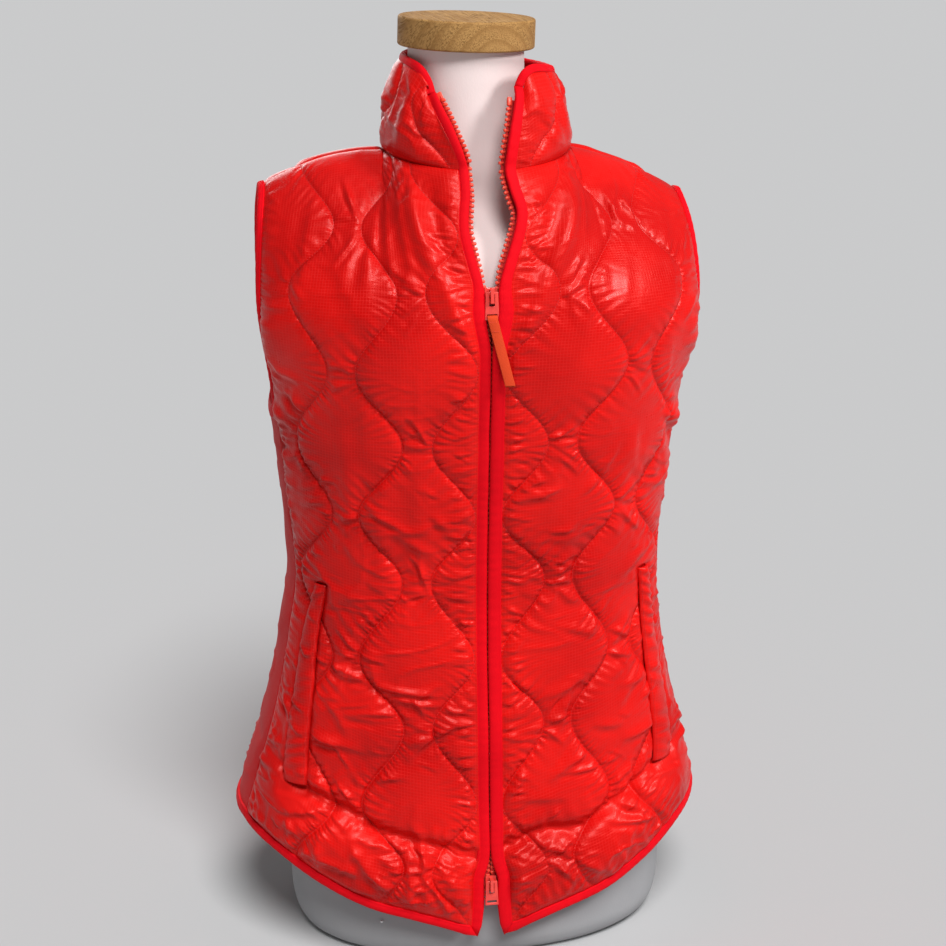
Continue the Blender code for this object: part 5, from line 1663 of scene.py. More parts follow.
@dataclass
class BackPanel(QuiltedPanel):
    """The whole back of the vest, quilted like the fronts."""

    rows_below: int = 232
    rows_above: int = 124
    counts: tuple = (26, 34, 36, 40, 36, 34, 26)
    flat: tuple = (0.502, 0.655)
    area: float = 0.225

    def build(self) -> list:
        """The panel and its quilting stitches.

        Returns:
            The two pieces.
        """
        w = self.rows()
        reach = SHAPE.outer_edge(w, True)
        lines = []
        for index in range(3):
            middle = PATTERN.stitch_step * (index + 0.5)
            line = np.full_like(w, middle)
            for _ in range(5):
                z = SHAPE.panel_points(line, w, Side.LEFT, True)[..., 2]
                line = middle + (-1) ** index * PATTERN.stitch_swing * SHAPE.swing(z)
            lines.append(np.minimum(line, reach - PATTERN.least_cell))
        bounds = np.stack([-reach] + [-line for line in reversed(lines)] + lines + [reach], axis=-1)
        v, cells = self.columns(bounds, list(self.counts))
        rows = np.broadcast_to(w[:, None], v.shape)
        right = (v < 0)[..., None]
        away = np.abs(v)
        base = np.where(right, *(SHAPE.panel_points(away, rows, side, True) for side in Side))
        normals = np.where(right, *(SHAPE.panel_normals(away, rows, side, True) for side in Side))
        base = self.into_armhole(self.into_armhole(softened(base, 10), w, 0), w, -1)
        normals = softened(normals, 14)
        for _ in range(8):
            normals[:, 1:-1] = 0.25 * normals[:, :-2] + 0.5 * normals[:, 1:-1] + 0.25 * normals[:, 2:]
        normals = units(normals)
        base[..., 2] -= self.hem_drop(base[..., 2] - SHAPE.hem_height(away, True))
        z = base[..., 2]
        from_hem = z - SHAPE.hem_height(away, True)
        to_top = np.linalg.norm(base - base[-1:], axis=-1)
        fade = near(from_hem, 3.0) * near(to_top, 5.0)
        rim = near(bounds[:, -1:] - away, 3.0)
        creases = self.cell_creases([
            (110, -226, 226, 80, 340, 4, 22, 34, 2.4, 1.25),
            (60, -220, 220, 330, 640, 10, 40, 26, 2.3, 0.9),
            (24, -180, 180, 430, 640, 86, 14, 70, 5.0, 1.1),
        ], 540, 1.0)
        across = np.linspace(-226, 226, 120)
        low = SHAPE.hem_height(np.abs(across), True) + 3
        creases += self.edge_creases(across, low, 90 + 0 * across, 541, 10, 30, 2.3, 1.0)
        creases += self.edge_creases(bounds[:, -1] - 1.0, z[:, -1], 0 * w, 542, 9.0, 22, 1.9, 1.0, -1.0)
        creases += self.edge_creases(bounds[:, 0] + 1.0, z[:, 0], 0 * w, 543, 9.0, 22, 1.9, 1.0, 1.0)
        slack = 0.8 * self.crinkles(v, z, 540, 0.05) + self.crease_heights(v, z, creases)
        slack = slack * near(np.minimum(v - bounds[:, cells], bounds[:, cells + 1] - v), 4.0)
        roll = 0.6 * SHAPE.hem_roll(from_hem + 6 * wander(v / 40, 509)) * np.minimum(1.0, from_hem / 12)
        roll = roll * self.before_seam(bounds[:, -1:] - away)
        height = fade * rim * (self.loft(v, z, bounds, cells, 500) + 0.9 * slack) + roll * rim
        outer = base + normals * height[..., None]
        inner = base + normals * (0.7 * roll * rim - PATTERN.wall)[..., None]
        return self.quilt("back", outer, inner, normals, self.flat_map(base, v), ["form_body"])


@dataclass
class SidePanel(QuiltedPanel):
    """Smooth stretch panel under an arm, between the front and the back."""

    side: Side = Side.RIGHT
    rows_below: int = 200
    across: int = 34
    flat: tuple = (0.072, 0.395)
    area: float = 0.0262

    def build(self) -> bpy.types.Object:
        """The panel."""
        w = np.linspace(0, 1, self.rows_below)[:, None]
        u = np.linspace(-1, 1, self.across)[None, :]
        base = SHAPE.side_points(u, w, self.side)
        along = np.gradient(base, axis=1)
        up = np.gradient(base, axis=0)
        normals = units(np.cross(along, up))
        normals = normals * np.sign(normals[..., :1] * self.side.value)
        hem = SHAPE.hem_height(SHAPE.seam_arc(base[..., 2], False), False)
        base[..., 2] -= self.hem_drop(base[..., 2] - hem)
        z = base[..., 2]
        above = z - hem
        seed = 700 if self.side is Side.RIGHT else 720
        roll = 0.22 * (1 - u**2) * SHAPE.hem_roll(above) * np.minimum(1.0, above / 12)
        pull = ripples(z, 11.0, seed) * np.exp(-(1 - np.abs(u)) * PATTERN.side_half / 5) * 0.35
        fine = 0.8 * np.clip(1 - 3 * np.abs(patches(u + z / 90, z / 22, seed + 4)), 0, 1)
        soft = 0.7 * patches(u * 1.2 + 40, z / 26, seed + 3) + fine
        calm = near(above, 6) * near(z.max() - z, 8)
        outer = base + normals * (roll + calm * (pull + soft * (1 - u**4)))[..., None]
        inner = base + normals * (0.7 * roll - PATTERN.wall)[..., None]
        uv = cloth_map(PATTERN.side_half * u, z, z.shape)
        name = self.side.named("side_panel")
        panel = cloth_wall(name + "_cloth", outer, inner, uv, self.finishes["stretch"], 3)
        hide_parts(name)
        front = self.side.named("front", "_quilt")
        return panel


@dataclass
class Collar(QuiltedPanel):
    """Quilted stand collar, open at the front."""

    up: int = 54
    radius: float = 72.0        # from its middle to the cloth
    foot: float = 692.0
    tall: float = 72.0
    first_line: float = 42.0    # degrees from the centre front
    counts: tuple = (26, 36, 36, 48, 36, 36, 26)
    flat: tuple = (0.43, 0.075)
    area: float = 0.0275

    def folds(self) -> list:
        """Folds placed one by one, across in degrees from the centre front round the wearer's right."""
        return [
            Fold(62, 700, 55, 764, 6, 3.2, 0.5), Fold(38, 694, 32, 752, 9, -3.0),
            Fold(84, 694, 92, 740, 5, 1.8), Fold(310, 694, 322, 738, 6, 2.6, 0.5),
            Fold(322, 738, 330, 760, 5, 2.0), Fold(296, 694, 300, 750, 6, 2.0),
            Fold(150, 694, 158, 750, 7, 1.6), Fold(205, 700, 196, 758, 7, 1.6),
            Fold(250, 694, 262, 744, 6, 1.8),
        ]

    def bounds(self, g: Array) -> Array:
        """Signed angles of the collar's ends and quilting lines, from the wearer's right round the back."""
        z = PATTERN.collar_base.z + (PATTERN.collar_top.z - PATTERN.collar_base.z) * g
        lean = math.degrees(PATTERN.stitch_swing / self.radius) * np.cos(math.pi * (z - 688) / 62)
        step = math.degrees(PATTERN.stitch_step / self.radius)
        lines = [self.first_line + step * index + (-1 if index % 2 == 0 else 1) * lean for index in range(3)]
        right = [-SHAPE.collar_limit(Side.RIGHT, g)] + [-line for line in lines]
        left = [-360 + line for line in reversed(lines)] + [-360 + SHAPE.collar_limit(Side.LEFT, g)]
        return np.stack(right + left, axis=-1)

    def build(self) -> list:
        """The collar and its quilting stitches.

        Returns:
            The two pieces.
        """
        g = np.concatenate([[-0.006], np.linspace(0.006, 1, self.up - 1)])
        bounds = self.bounds(g)
        turn, cells = self.columns(bounds, list(self.counts))
        place = (turn + 180) % 360 - 180
        rows = np.broadcast_to(g[:, None], turn.shape)
        base = SHAPE.collar_points(place, rows)
        normals = SHAPE.collar_normals(place, rows)
        wider = PATTERN.neck_narrowing + 1.8
        share = np.clip(1 - (1 - rows) * self.tall / 30, 0, 1) ** 2
        up = units(base[-1:] - base[-4:-3]) * wider * share[..., None]
        for column, beside in ((0, 5), (-1, -6)):
            way = units(base[:, column:column + 1 or None] - base[:, beside:beside + 1])
            far = np.linalg.norm(base - base[:, column:column + 1 or None], axis=-1)
            up = up + way * wider * (np.clip(1 - far / 45, 0, 1) ** 2)[..., None]
        base = base + up
        v = -turn * math.pi / 180 * self.radius
        arcs = -bounds * math.pi / 180 * self.radius
        z = base[..., 2]
        level = np.broadcast_to((self.foot + self.tall * g)[:, None], v.shape)
        calm = near(np.minimum(rows, 1 - rows) * self.tall, 4.0)
        ends = near(v - arcs[:, :1], 3.0) * near(arcs[:, -1:] - v, 3.0)
        creases = self.cell_creases([
            (46, float(v.min()), float(v.max()), 694, 758, 20, 40, 20, 1.9, 1.0),
            (22, float(v.min()), float(v.max()), 694, 758, 85, 20, 26, 2.2, 1.0),
        ], 641, 1.0)
        slack = self.crinkles(v, z, 640, -0.1) + self.crease_heights(v, level, creases)
        folds = self.fold_heights(np.degrees(v / self.radius), level, self.folds())
        folds = folds * near(level - self.foot, 6.0)
        height = calm * ends * (0.8 * self.loft(v, level, arcs, cells, 600, 0.4) + 0.9 * slack) + ends * folds
        outer = base + normals * height[..., None]
        inner = base + normals * (0.8 * ends * folds - PATTERN.wall)[..., None]
        below = ["front_right_quilt", "front_left_quilt", "back_quilt"]
        return self.quilt("collar", outer, inner, normals, cloth_map(v, level, v.shape), below, 2)


# The pocket bands: level, and the distances of the inner and outer edge from the centre front.
WELT_EDGES = ((158, 158, 182), (210, 155, 178), (255, 150, 170), (300, 145, 161), (345, 138, 150))


@dataclass
class PocketWelt(QuiltedPanel):
    """Raised band along a pocket's mouth."""

    side: Side = Side.RIGHT
    rows_up: int = 110
    across: int = 26
    rest: float = 2.2           # its edges over stitch level
    lift: float = 4.9           # and its middle
    hidden: float = 9.0         # length of its lower end under the band above the hem
    thick: float = 2.2

    @staticmethod
    def bounds_at(z: Array) -> tuple:
        """Distances of the band's inner and outer edge from the centre front at a level."""
        return tuple(curve_through(z, column(WELT_EDGES, 0), column(WELT_EDGES, k)) for k in (1, 2))

    @staticmethod
    def cover(v: Array, z: Array) -> Array:
        """1 under the band, 0 away from it."""
        low, high = PocketWelt.bounds_at(z)
        aside = np.maximum(low - v, v - high)
        beyond = np.maximum(aside, np.maximum(WELT_EDGES[0][0] - z, z - WELT_EDGES[-1][0]))
        return np.clip(1 - beyond / 5.0, 0, 1) ** 2

    def build(self) -> list:
        """The band and its stitches.

        Returns:
            The two pieces.
        """
        low_end, high_end = WELT_EDGES[0][0] + self.hidden, WELT_EDGES[-1][0]
        z = np.linspace(low_end, high_end, self.rows_up)[:, None]
        near_edge, far_edge = self.bounds_at(z)
        share = np.linspace(0, 1, self.across)[None, :]
        v = near_edge + (far_edge - near_edge) * share
        low = SHAPE.hem_height(v, False)
        across = np.clip((v - PATTERN.panel_edge) / (SHAPE.reach[False] - PATTERN.panel_edge), 0, 1)
        w = (z - low) / (PATTERN.underarm + PATTERN.underarm_rise * across**4 - low)
        normals = SHAPE.panel_normals(v, w, self.side, False)
        base = SHAPE.panel_points(v, w, self.side, False)
        base = base + normals * np.maximum(SHAPE.hem_roll(z - low), 0.0)[..., None]
        seed = 820 if self.side is Side.RIGHT else 840
        rounded = (4 * share * (1 - share)) ** 0.45
        ends = near(np.minimum(z - low_end, high_end - z), 3.0)
        creases = self.cell_creases([
            (26, near_edge.mean() - 12, far_edge.mean() + 12, low_end, high_end, 8, 24, 20, 1.7, 1.6),
            (8, near_edge.mean() - 8, far_edge.mean() + 8, low_end, high_end, -20, 14, 18, 2.2, 1.2),
        ], seed, 1.0)
        pull = 1.2 * ripples(z + 9 * share, 12.0, seed) + 0.5 * patches(share * 1.5, z / 9, seed + 2)
        pull = pull + self.crease_heights(v, z + 0 * v, creases)
        tuck = 2.4 * (1 - near(z - low_end, 8.0)) + 1.4 * (1 - near(high_end - z, 5.0))
        stand = self.rest - tuck + (self.lift - self.rest) * rounded
        crest = stand + self.thick * (0.3 + 0.7 * rounded) + ends * np.maximum(pull, -1.2) * rounded
        outer = base + normals * crest[..., None]
        inner = base + normals * stand[..., None]
        uv = cloth_map(v, z, v.shape)
        name = self.side.named("pocket_welt")
        panel = cloth_wall(name + "_band", outer, inner, uv, self.finishes["ripstop"], 2)
        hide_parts(name)
        seams = [(outer[:, c], normals[:, c]) for c in (2, self.across - 3)]
        thread = stitches(name + "_stitches", seams, self.finishes["thread"], 2.4, 1.7, 0.5)
        front = self.side.named("front", "_quilt")
        return [panel, thread]


# ---------------------------------------------------------------- bindings


@dataclass
class Bindings:
    """Smooth folded knit strips along every free edge."""

    finishes: dict
    step: float = 1.6
    reach: float = 8.4          # of the section beyond the path
    section: tuple = (
        (-1.5, -2.9), (0.6, -3.5), (3.6, -3.7), (6.2, -3.45), (7.8, -2.6), (8.4, -1.25), (8.2, 0.1),
        (7.2, 1.0), (5.4, 1.5), (3.2, 1.62), (1.4, 1.5), (0.2, 1.15), (-0.6, 1.35), (-1.5, 1.05),
        (-1.9, -0.4),
    )

    def respaced(self, points: Array, normals: Array) -> tuple:
        """A path read at even steps, with smooth normals.

        Args:
            points: Points of the path.
            normals: Their normals.

        Returns:
            The new points and normals.
        """
        run = run_along(points)
        places = np.linspace(0, run[-1], max(int(run[-1] / self.step), 8))
        new = read_along(places, run, points)
        way = read_along(places, run, normals)
        return softened(new, 6), units(softened(way, 6))

    def front_edge(self, side: Side) -> tuple:
        """Free edge of a front, from its hem to the collar's upper corner."""
        above = np.linspace(1, 2 - PATTERN.top_trim, 150)
        w = np.concatenate([np.linspace(0, 1, 260, endpoint=False), above])
        points = SHAPE.panel_points(PATTERN.panel_edge, w, side, False)
        normals = SHAPE.panel_normals(PATTERN.panel_edge, w, side, False)
        g = np.linspace(0.03, 1, 40)
        turn = side.value * SHAPE.collar_limit(side, g)
        points = np.concatenate([points, SHAPE.collar_points(turn, g)])
        normals = np.concatenate([normals, SHAPE.collar_normals(turn, g)])
        return self.respaced(points, normals)

    def collar_top(self) -> tuple:
        """Upper edge of the collar from the wearer's right corner round the back to the left."""
        first = float(SHAPE.collar_limit(Side.RIGHT, np.array(1.0)))
        last = float(SHAPE.collar_limit(Side.LEFT, np.array(1.0)))
        turn = (np.linspace(-first, last - 360, 260) + 180) % 360 - 180
        ones = np.ones_like(turn)
        return self.respaced(SHAPE.collar_points(turn, ones), SHAPE.collar_normals(turn, ones))

    def hem(self) -> tuple:
        """Lower edge from the wearer's right front corner round the back to the left front."""
        runs = []
        zero = np.zeros(1)
        for side in (Side.RIGHT, Side.LEFT):
            v = np.linspace(PATTERN.panel_edge, float(SHAPE.outer_edge(zero, False)[0]), 160)
            w = np.zeros_like(v)
            runs.append((SHAPE.panel_points(v, w, side, False), SHAPE.panel_normals(v, w, side, False)))
            u = np.linspace(-0.9, 0.9, 40)
            points = SHAPE.side_points(u, np.zeros_like(u), side)
            up = SHAPE.side_points(u, np.full_like(u, 0.02), side) - points
            normals = units(np.cross(np.gradient(points, axis=0), up))
            runs.append((points, normals * np.sign(normals[:, :1] * side.value)))
        back = float(SHAPE.outer_edge(zero, True)[0])
        v = np.linspace(0, back, 160)
        rear = []
        for side in (Side.RIGHT, Side.LEFT):
            w = np.zeros_like(v)
            rear.append((SHAPE.panel_points(v, w, side, True), SHAPE.panel_normals(v, w, side, True)))
        order = [runs[0], runs[1], tuple(a[::-1] for a in rear[0]), tuple(a[1:] for a in rear[1]),
                 tuple(a[::-1] for a in runs[3]), tuple(a[::-1] for a in runs[2])]
        return self.respaced(np.concatenate([a for a, _ in order]), np.concatenate([b for _, b in order]))

    def frames(self, points: Array, normals: Array, inside: Array,
               closed: bool = False) -> tuple:
        """Sideways and outward directions along a path.

        Args:
            points: The path.
            normals: Outward normals of the cloth.
            inside: Points within the cloth beside each point of the path.
            closed: Whether the path is closed on itself.

        Returns:
            The sideways directions, away from the cloth, and the normals.
        """
        if closed:
            tangent = np.roll(points, -1, axis=0) - np.roll(points, 1, axis=0)
        else:
            tangent = np.gradient(points, axis=0)
        sideways = units(np.cross(units(tangent), normals))
        toward = np.sum(sideways * (points - inside), axis=1, keepdims=True)
        return sideways * np.where(toward < 0, -1.0, 1.0), normals

    def strip(self, name: str, points: Array, sideways: Array, normals: Array, seed: int,
              bound: tuple, closed: bool = False, rise: float = 0.0, lip: Array | float = 0.0,
              slim: Array | float = 0.0, tilt: float = 0.0) -> bpy.types.Object:
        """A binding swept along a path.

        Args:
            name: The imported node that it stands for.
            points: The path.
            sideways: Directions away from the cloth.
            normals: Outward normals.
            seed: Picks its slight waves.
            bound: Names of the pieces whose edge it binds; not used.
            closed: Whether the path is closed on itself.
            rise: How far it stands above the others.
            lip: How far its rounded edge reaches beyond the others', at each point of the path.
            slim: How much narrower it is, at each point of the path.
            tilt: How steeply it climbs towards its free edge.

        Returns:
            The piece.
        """
        section = np.array(self.section)
        slim = (np.zeros(len(points)) + slim)[:, None]
        points = points + sideways * slim
        beyond = (np.zeros(len(points)) + lip)[:, None] * np.clip((section[:, 0] - 4) / 4, 0, 1)[None, :]
        run = run_along(points)
        wave = 0.16 * ripples(run, 9.0, seed)[:, None] * np.clip((section[:, 0] + 2) / 6, 0, 1)[None, :]
        wide, high = section[None, :, 0], section[None, :, 1]
        a = wide * (1 - slim / self.reach) * (1 + 0.02 * wander(run / 14, seed + 5))[:, None] + beyond
        b = high + wave * (high > 0) + rise + tilt * np.maximum(wide, 0)
        rings = points[:, None] + a[..., None] * sideways[:, None] + b[..., None] * normals[:, None]
        uv = cloth_map(run_along(section)[None, :], run[:, None], a.shape).reshape(-1, 2)
        faces = bar_faces(len(points), len(section), closed)
        knit = self.finishes["binding"]
        piece = add_piece(name + "_knit", rings.reshape(-1, 3), faces, uv, knit)
        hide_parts(name)
        return piece

    def mitred(self, sideways: Array, first: Array | None, last: Array | None) -> Array:
        """Sideways directions whose ends meet the next strips at half the corner.

        Args:
            sideways: Directions away from the cloth.
            first: Direction of the strip before, at its near end.
            last: Direction of the strip after, at its near end.

        Returns:
            The directions with both ends turned.
        """
        sideways = sideways.copy()
        for end, other in ((0, first), (-1, last)):
            if other is not None:
                half = units(sideways[end] + other)
                sideways[end] = half / max(0.82, float(half @ sideways[end]))
        return sideways

    def build(self) -> list:
        """All bindings.

        Returns:
            The pieces.
        """
        right, left = self.front_edge(Side.RIGHT), self.front_edge(Side.LEFT)
        top, hem = self.collar_top(), self.hem()
        middle = np.array([0.0, 0.0, 1.0])
        side_right = self.frames(*right, right[0] + np.array([-5.0, 0, 0]))[0]
        side_left = self.frames(*left, left[0] + np.array([5.0, 0, 0]))[0]
        side_top = self.frames(*top, top[0] - 5 * middle)[0]
        side_hem = self.frames(*hem, hem[0] + 5 * middle)[0]
        levels, reaches = [40, 66, 90, 560, 600, 720, 745], [0.3, 1.6, 0.8, 0.8, 2.6, 2.6, 0.9]
        lips = [np.interp(path[0][:, 2], levels, reaches) for path in (right, left)]
        slims = [SHAPE.narrowing(path[0][:, 2]) for path in (right, left)]
        count = np.arange(len(hem[0]))
        hem_slim = np.minimum(PATTERN.hem_narrowing, 0.2 * np.minimum(count, count[::-1]))
        around_hem = ("front_right_quilt", "front_left_quilt", "side_panel_right_cloth",
                      "side_panel_left_cloth", "back_quilt")
        made = [
            self.strip("binding_front_right", right[0], self.mitred(side_right, side_hem[0], side_top[0]),
                       right[1], 900, ("front_right_quilt", "collar_quilt"), rise=-1.9, lip=lips[0],
                       slim=slims[0], tilt=0.2),
            self.strip("binding_front_left", left[0], self.mitred(side_left, side_hem[-1], side_top[-1]),
                       left[1], 910, ("front_left_quilt", "collar_quilt"), rise=0.9, lip=lips[1],
                       slim=slims[1]),
            self.strip("binding_collar", top[0], self.mitred(side_top, side_right[-1], side_left[-1]),
                       top[1], 920, ("collar_quilt",), lip=0.6, slim=PATTERN.neck_narrowing),
            self.strip("binding_hem", hem[0], self.mitred(side_hem, side_right[0], side_left[0]),
                       hem[1], 930, around_hem, slim=hem_slim),
        ]
        return made + [self.armhole(side) for side in Side]

    def armhole(self, side: Side) -> bpy.types.Object:
        """The closed binding of one armhole."""
        w = np.linspace(1, 2 - PATTERN.top_trim, 150)
        parts = []
        for back in (False, True):
            reach = SHAPE.reach[back] - PATTERN.seam
            points = SHAPE.panel_points(reach, w, side, back)
            normals = SHAPE.panel_normals(reach, w, side, back)
            inside = SHAPE.panel_points(reach - 12, w, side, back)
            parts.append((points, normals, inside))
        front, rear = parts
        u = np.linspace(0.9, -0.9, 30)
        under = SHAPE.side_points(u, np.ones_like(u), side)
        low = SHAPE.side_points(u, np.full_like(u, 0.98), side)
        normals = units(np.cross(np.gradient(under, axis=0), under - low))
        normals = normals * np.sign(normals[:, :1] * side.value)
        points = np.concatenate([front[0], rear[0][::-1][1:], under])
        normals = np.concatenate([front[1], rear[1][::-1][1:], normals])
        inside = np.concatenate([front[2], rear[2][::-1][1:], low])
        run = run_along(np.vstack([points, points[:1]]))
        places = np.linspace(0, run[-1], int(run[-1] / self.step), endpoint=False)
        read = [read_along(places, run, np.vstack([array, array[:1]])) for array in (points, normals, inside)]
        for array in read:
            for _ in range(6):
                array[:] = 0.25 * np.roll(array, 1, axis=0) + 0.5 * array + 0.25 * np.roll(array, -1, axis=0)
        sideways, outward = self.frames(read[0], units(read[1]), read[2], closed=True)
        name = side.named("binding_armhole")
        slim = PATTERN.armhole_narrowing * np.interp(read[0][:, 2], [482, 506], [0.0, 1.0])
        bound = (side.named("front", "_quilt"), side.named("side_panel", "_cloth"), "back_quilt")
        return self.strip(name, read[0], sideways, outward, 940 + side.value, bound, closed=True, slim=slim)


# ---------------------------------------------------------------- zip


@dataclass
class ZipHalf:
    """One side of the zip: moulded teeth on a woven tape, with a top stop."""

    finishes: dict
    side: Side = Side.RIGHT
    pitch: float = 4.4
    tooth: tuple = (3.0, 3.9, 2.6)      # along the edge, across it, and thick
    front: float = -4.2
    top: float = 742.0
    tape_width: float = 13.0
    tape_thick: float = 0.9

    def path(self) -> tuple:
        """Tips of the teeth from the hem up, with the ways into the cloth and the normals."""
        points, normals = Bindings(self.finishes, step=1.0).front_edge(self.side)
        tangent = np.gradient(points, axis=0)
        inward = units(np.cross(tangent, normals))
        inward = inward * np.sign(inward[:, :1] * self.side.value)
        top = min(self.top, float(points[-1, 2]) - 2.0)
        level = points[:, 2]
        z = np.concatenate([[level[0] - 4.0], level[(level > level[0]) & (level < top)]])
        read = [read_along(z, level, array) for array in (points, normals, inward)]
        edge, normal, way = read[0], units(read[1]), units(read[2])
        tips = SHAPE.edge_at(self.side, z, False)
        exact = self.side.value * edge[:, 0] - tips
        beside = PATTERN.panel_edge - 1.0 + SHAPE.edge_at(self.side, z) - tips
        high = np.interp(z, [640, 700], [0.0, 1.0])
        drawn = (3.4 if self.side is Side.RIGHT else 1.8) * np.interp(z, [660, 712], [0.0, 1.0])
        reach = (exact + (beside - exact) * high - drawn) / np.abs(way[:, 0])
        return edge - way * reach[:, None], way, normal

    def build(self) -> list:
        """The teeth, the tape and the top stop.

        Returns:
            The three pieces.
        """
        tips, inward, normals = self.path()
        run = run_along(tips)
        offset = 0.0 if self.side is Side.RIGHT else self.pitch / 2
        places = np.arange(3.0 + offset, run[-1] - 5.0, self.pitch)
        read = [read_along(places, run, array) for array in (tips, inward, normals)]
        at, way, out = read[0], units(read[1]), units(read[2])
        along = units(np.cross(out, way)) * (1 if self.side is Side.LEFT else -1)
        long, wide, thick = self.tooth
        outline = [(0.0, 0.30), (0.35, 0.62), (1.1, 0.9), (2.0, 0.72), (2.6, 0.56), (wide, 0.62)]
        outline = outline + [(a, -c) for a, c in reversed(outline)]
        template = []
        for level, scale in ((-1.0, 0.72), (-0.72, 1.0), (0.72, 1.0), (1.0, 0.72)):
            for a, c in outline:
                a_in = 1.5 + (a - 1.5) * (scale if a < 3 else 1.0)
                template.append((a_in, c * long / 2 * 1.05 * scale, level * thick / 2))
        template = np.array(template)
        count = len(outline)
        faces_one = [tuple(range(count)), tuple(reversed(range(3 * count, 4 * count)))]
        for low in range(0, 3 * count, count):
            for k in range(count):
                after = (k + 1) % count
                faces_one.append((low + k, low + count + k, low + count + after, low + after))
        middle = at + out * (self.front - thick / 2)
        points = placed(template, middle, (way, along, out))
        faces = [tuple(len(template) * k + i for i in face) for k in range(len(places)) for face in faces_one]
        name = self.side.named("zip")
        teeth = add_piece(name + "_teeth", points, faces, None, self.finishes["teeth"])
        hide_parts(name)
        low, high = self.front - thick / 2 - self.tape_thick / 2, self.front - thick / 2 + self.tape_thick / 2
        section = np.array([(1.9, low), (self.tape_width, low), (self.tape_width, high), (3.4, high),
                            (2.6, high + 0.45), (1.9, high)])
        closed = np.interp(tips[:, 2], [80, 94, 584, 600], [0, 1, 1, 0])[:, None]
        across = section[None, :, 0] - 1.6 * closed * (section[None, :, 0] < 3)
        rings = tips[:, None] + across[..., None] * inward[:, None] + section[None, :, 1:] * normals[:, None]
        uv = cloth_map(section[None, :, 0], run[:, None], rings.shape[:2])
        tape = add_piece(name + "_tape", rings.reshape(-1, 3), bar_faces(len(tips), len(section), False),
                         uv.reshape(-1, 2), self.finishes["tape"])
        self.side.named("binding_front", "_knit")
        stop = self.top_stop(tips[-1], inward[-1], normals[-1])
        return [teeth, tape, stop]

    def top_stop(self, tip: Array, way: Array, out: Array) -> bpy.types.Object:
        """The moulded stop above the last tooth."""
        deselect()
        bpy.ops.mesh.primitive_cube_add(size=1)
        stop = bpy.context.object
        stop.name = self.side.named("top_stop")
        stop.scale = Vector((4.0, 2.8, 7.0)) * MM
        bpy.ops.object.transform_apply(location=False, rotation=False, scale=True)
        rounded(stop, 0.9 * MM, 3)
        up = units(np.cross(way, out)) * (1 if self.side is Side.RIGHT else -1)
        if up[2] < 0:
            up = -up
        place = (tip + way * 2.2 + out * (self.front - 1.25) - up * 1.5) * MM
        turn = Matrix([[way[i], -out[i], up[i]] for i in range(3)]).to_4x4()
        if turn.to_3x3().determinant() < 0:
            turn = Matrix([[-way[i], -out[i], up[i]] for i in range(3)]).to_4x4()
        stop.data.transform(Matrix.Translation(Vector(place)) @ turn)
        return settle(stop, self.finishes["teeth"], ROOT)


def deselect() -> None:
    """Clears the selection, so that an operator acts on the new piece alone."""
    bpy.ops.object.select_all(action="DESELECT")


def rounded(piece: bpy.types.Object, width: float, segments: int, angle: float = 40.0) -> None:
    """Rounds a piece's sharp edges and smooths its shading.

    Args:
        piece: The piece, active and selected.
        width: Width of the rounding in metres.
        segments: Faces across it.
        angle: Edges sharper than this many degrees are rounded.
    """
    bevel = piece.modifiers.new("rounded", "BEVEL")
    bevel.width = width
    bevel.segments = segments
    bevel.limit_method = "ANGLE"
    bevel.angle_limit = math.radians(angle)
    bpy.context.view_layer.objects.active = piece
    bpy.ops.object.modifier_apply(modifier=bevel.name)
    piece.data.shade_smooth()
    piece.data.set_sharp_from_angle(angle=math.radians(50))


def settle(piece: bpy.types.Object, finish: bpy.types.Material, body: str) -> bpy.types.Object:
    """Gives a finished hard piece its material and body."""
    piece.data.materials.clear()
    piece.data.materials.append(finish)
    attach(piece, body)
    LOG.info("%s: %d faces", piece.name, len(piece.data.polygons))
    return piece


def cube(name: str, low: tuple, high: tuple) -> bpy.types.Object:
    """A box between two corners in millimetres, its scale applied."""
    deselect()
    low, high = Vector(low) * MM, Vector(high) * MM
    bpy.ops.mesh.primitive_cube_add(size=1, location=(low + high) / 2)
    made = bpy.context.object
    made.name = name
    made.scale = high - low
    bpy.ops.object.transform_apply(location=True, rotation=False, scale=True)
    return made


def combined(base: bpy.types.Object, others: list, operation: str) -> bpy.types.Object:
    """A piece joined with or cut by others, which are removed."""
    for other in others:
        step = base.modifiers.new("join", "BOOLEAN")
        step.operation = operation
        step.object = other
        bpy.context.view_layer.objects.active = base
        bpy.ops.object.modifier_apply(modifier=step.name)
        bpy.data.objects.remove(other)
    return base


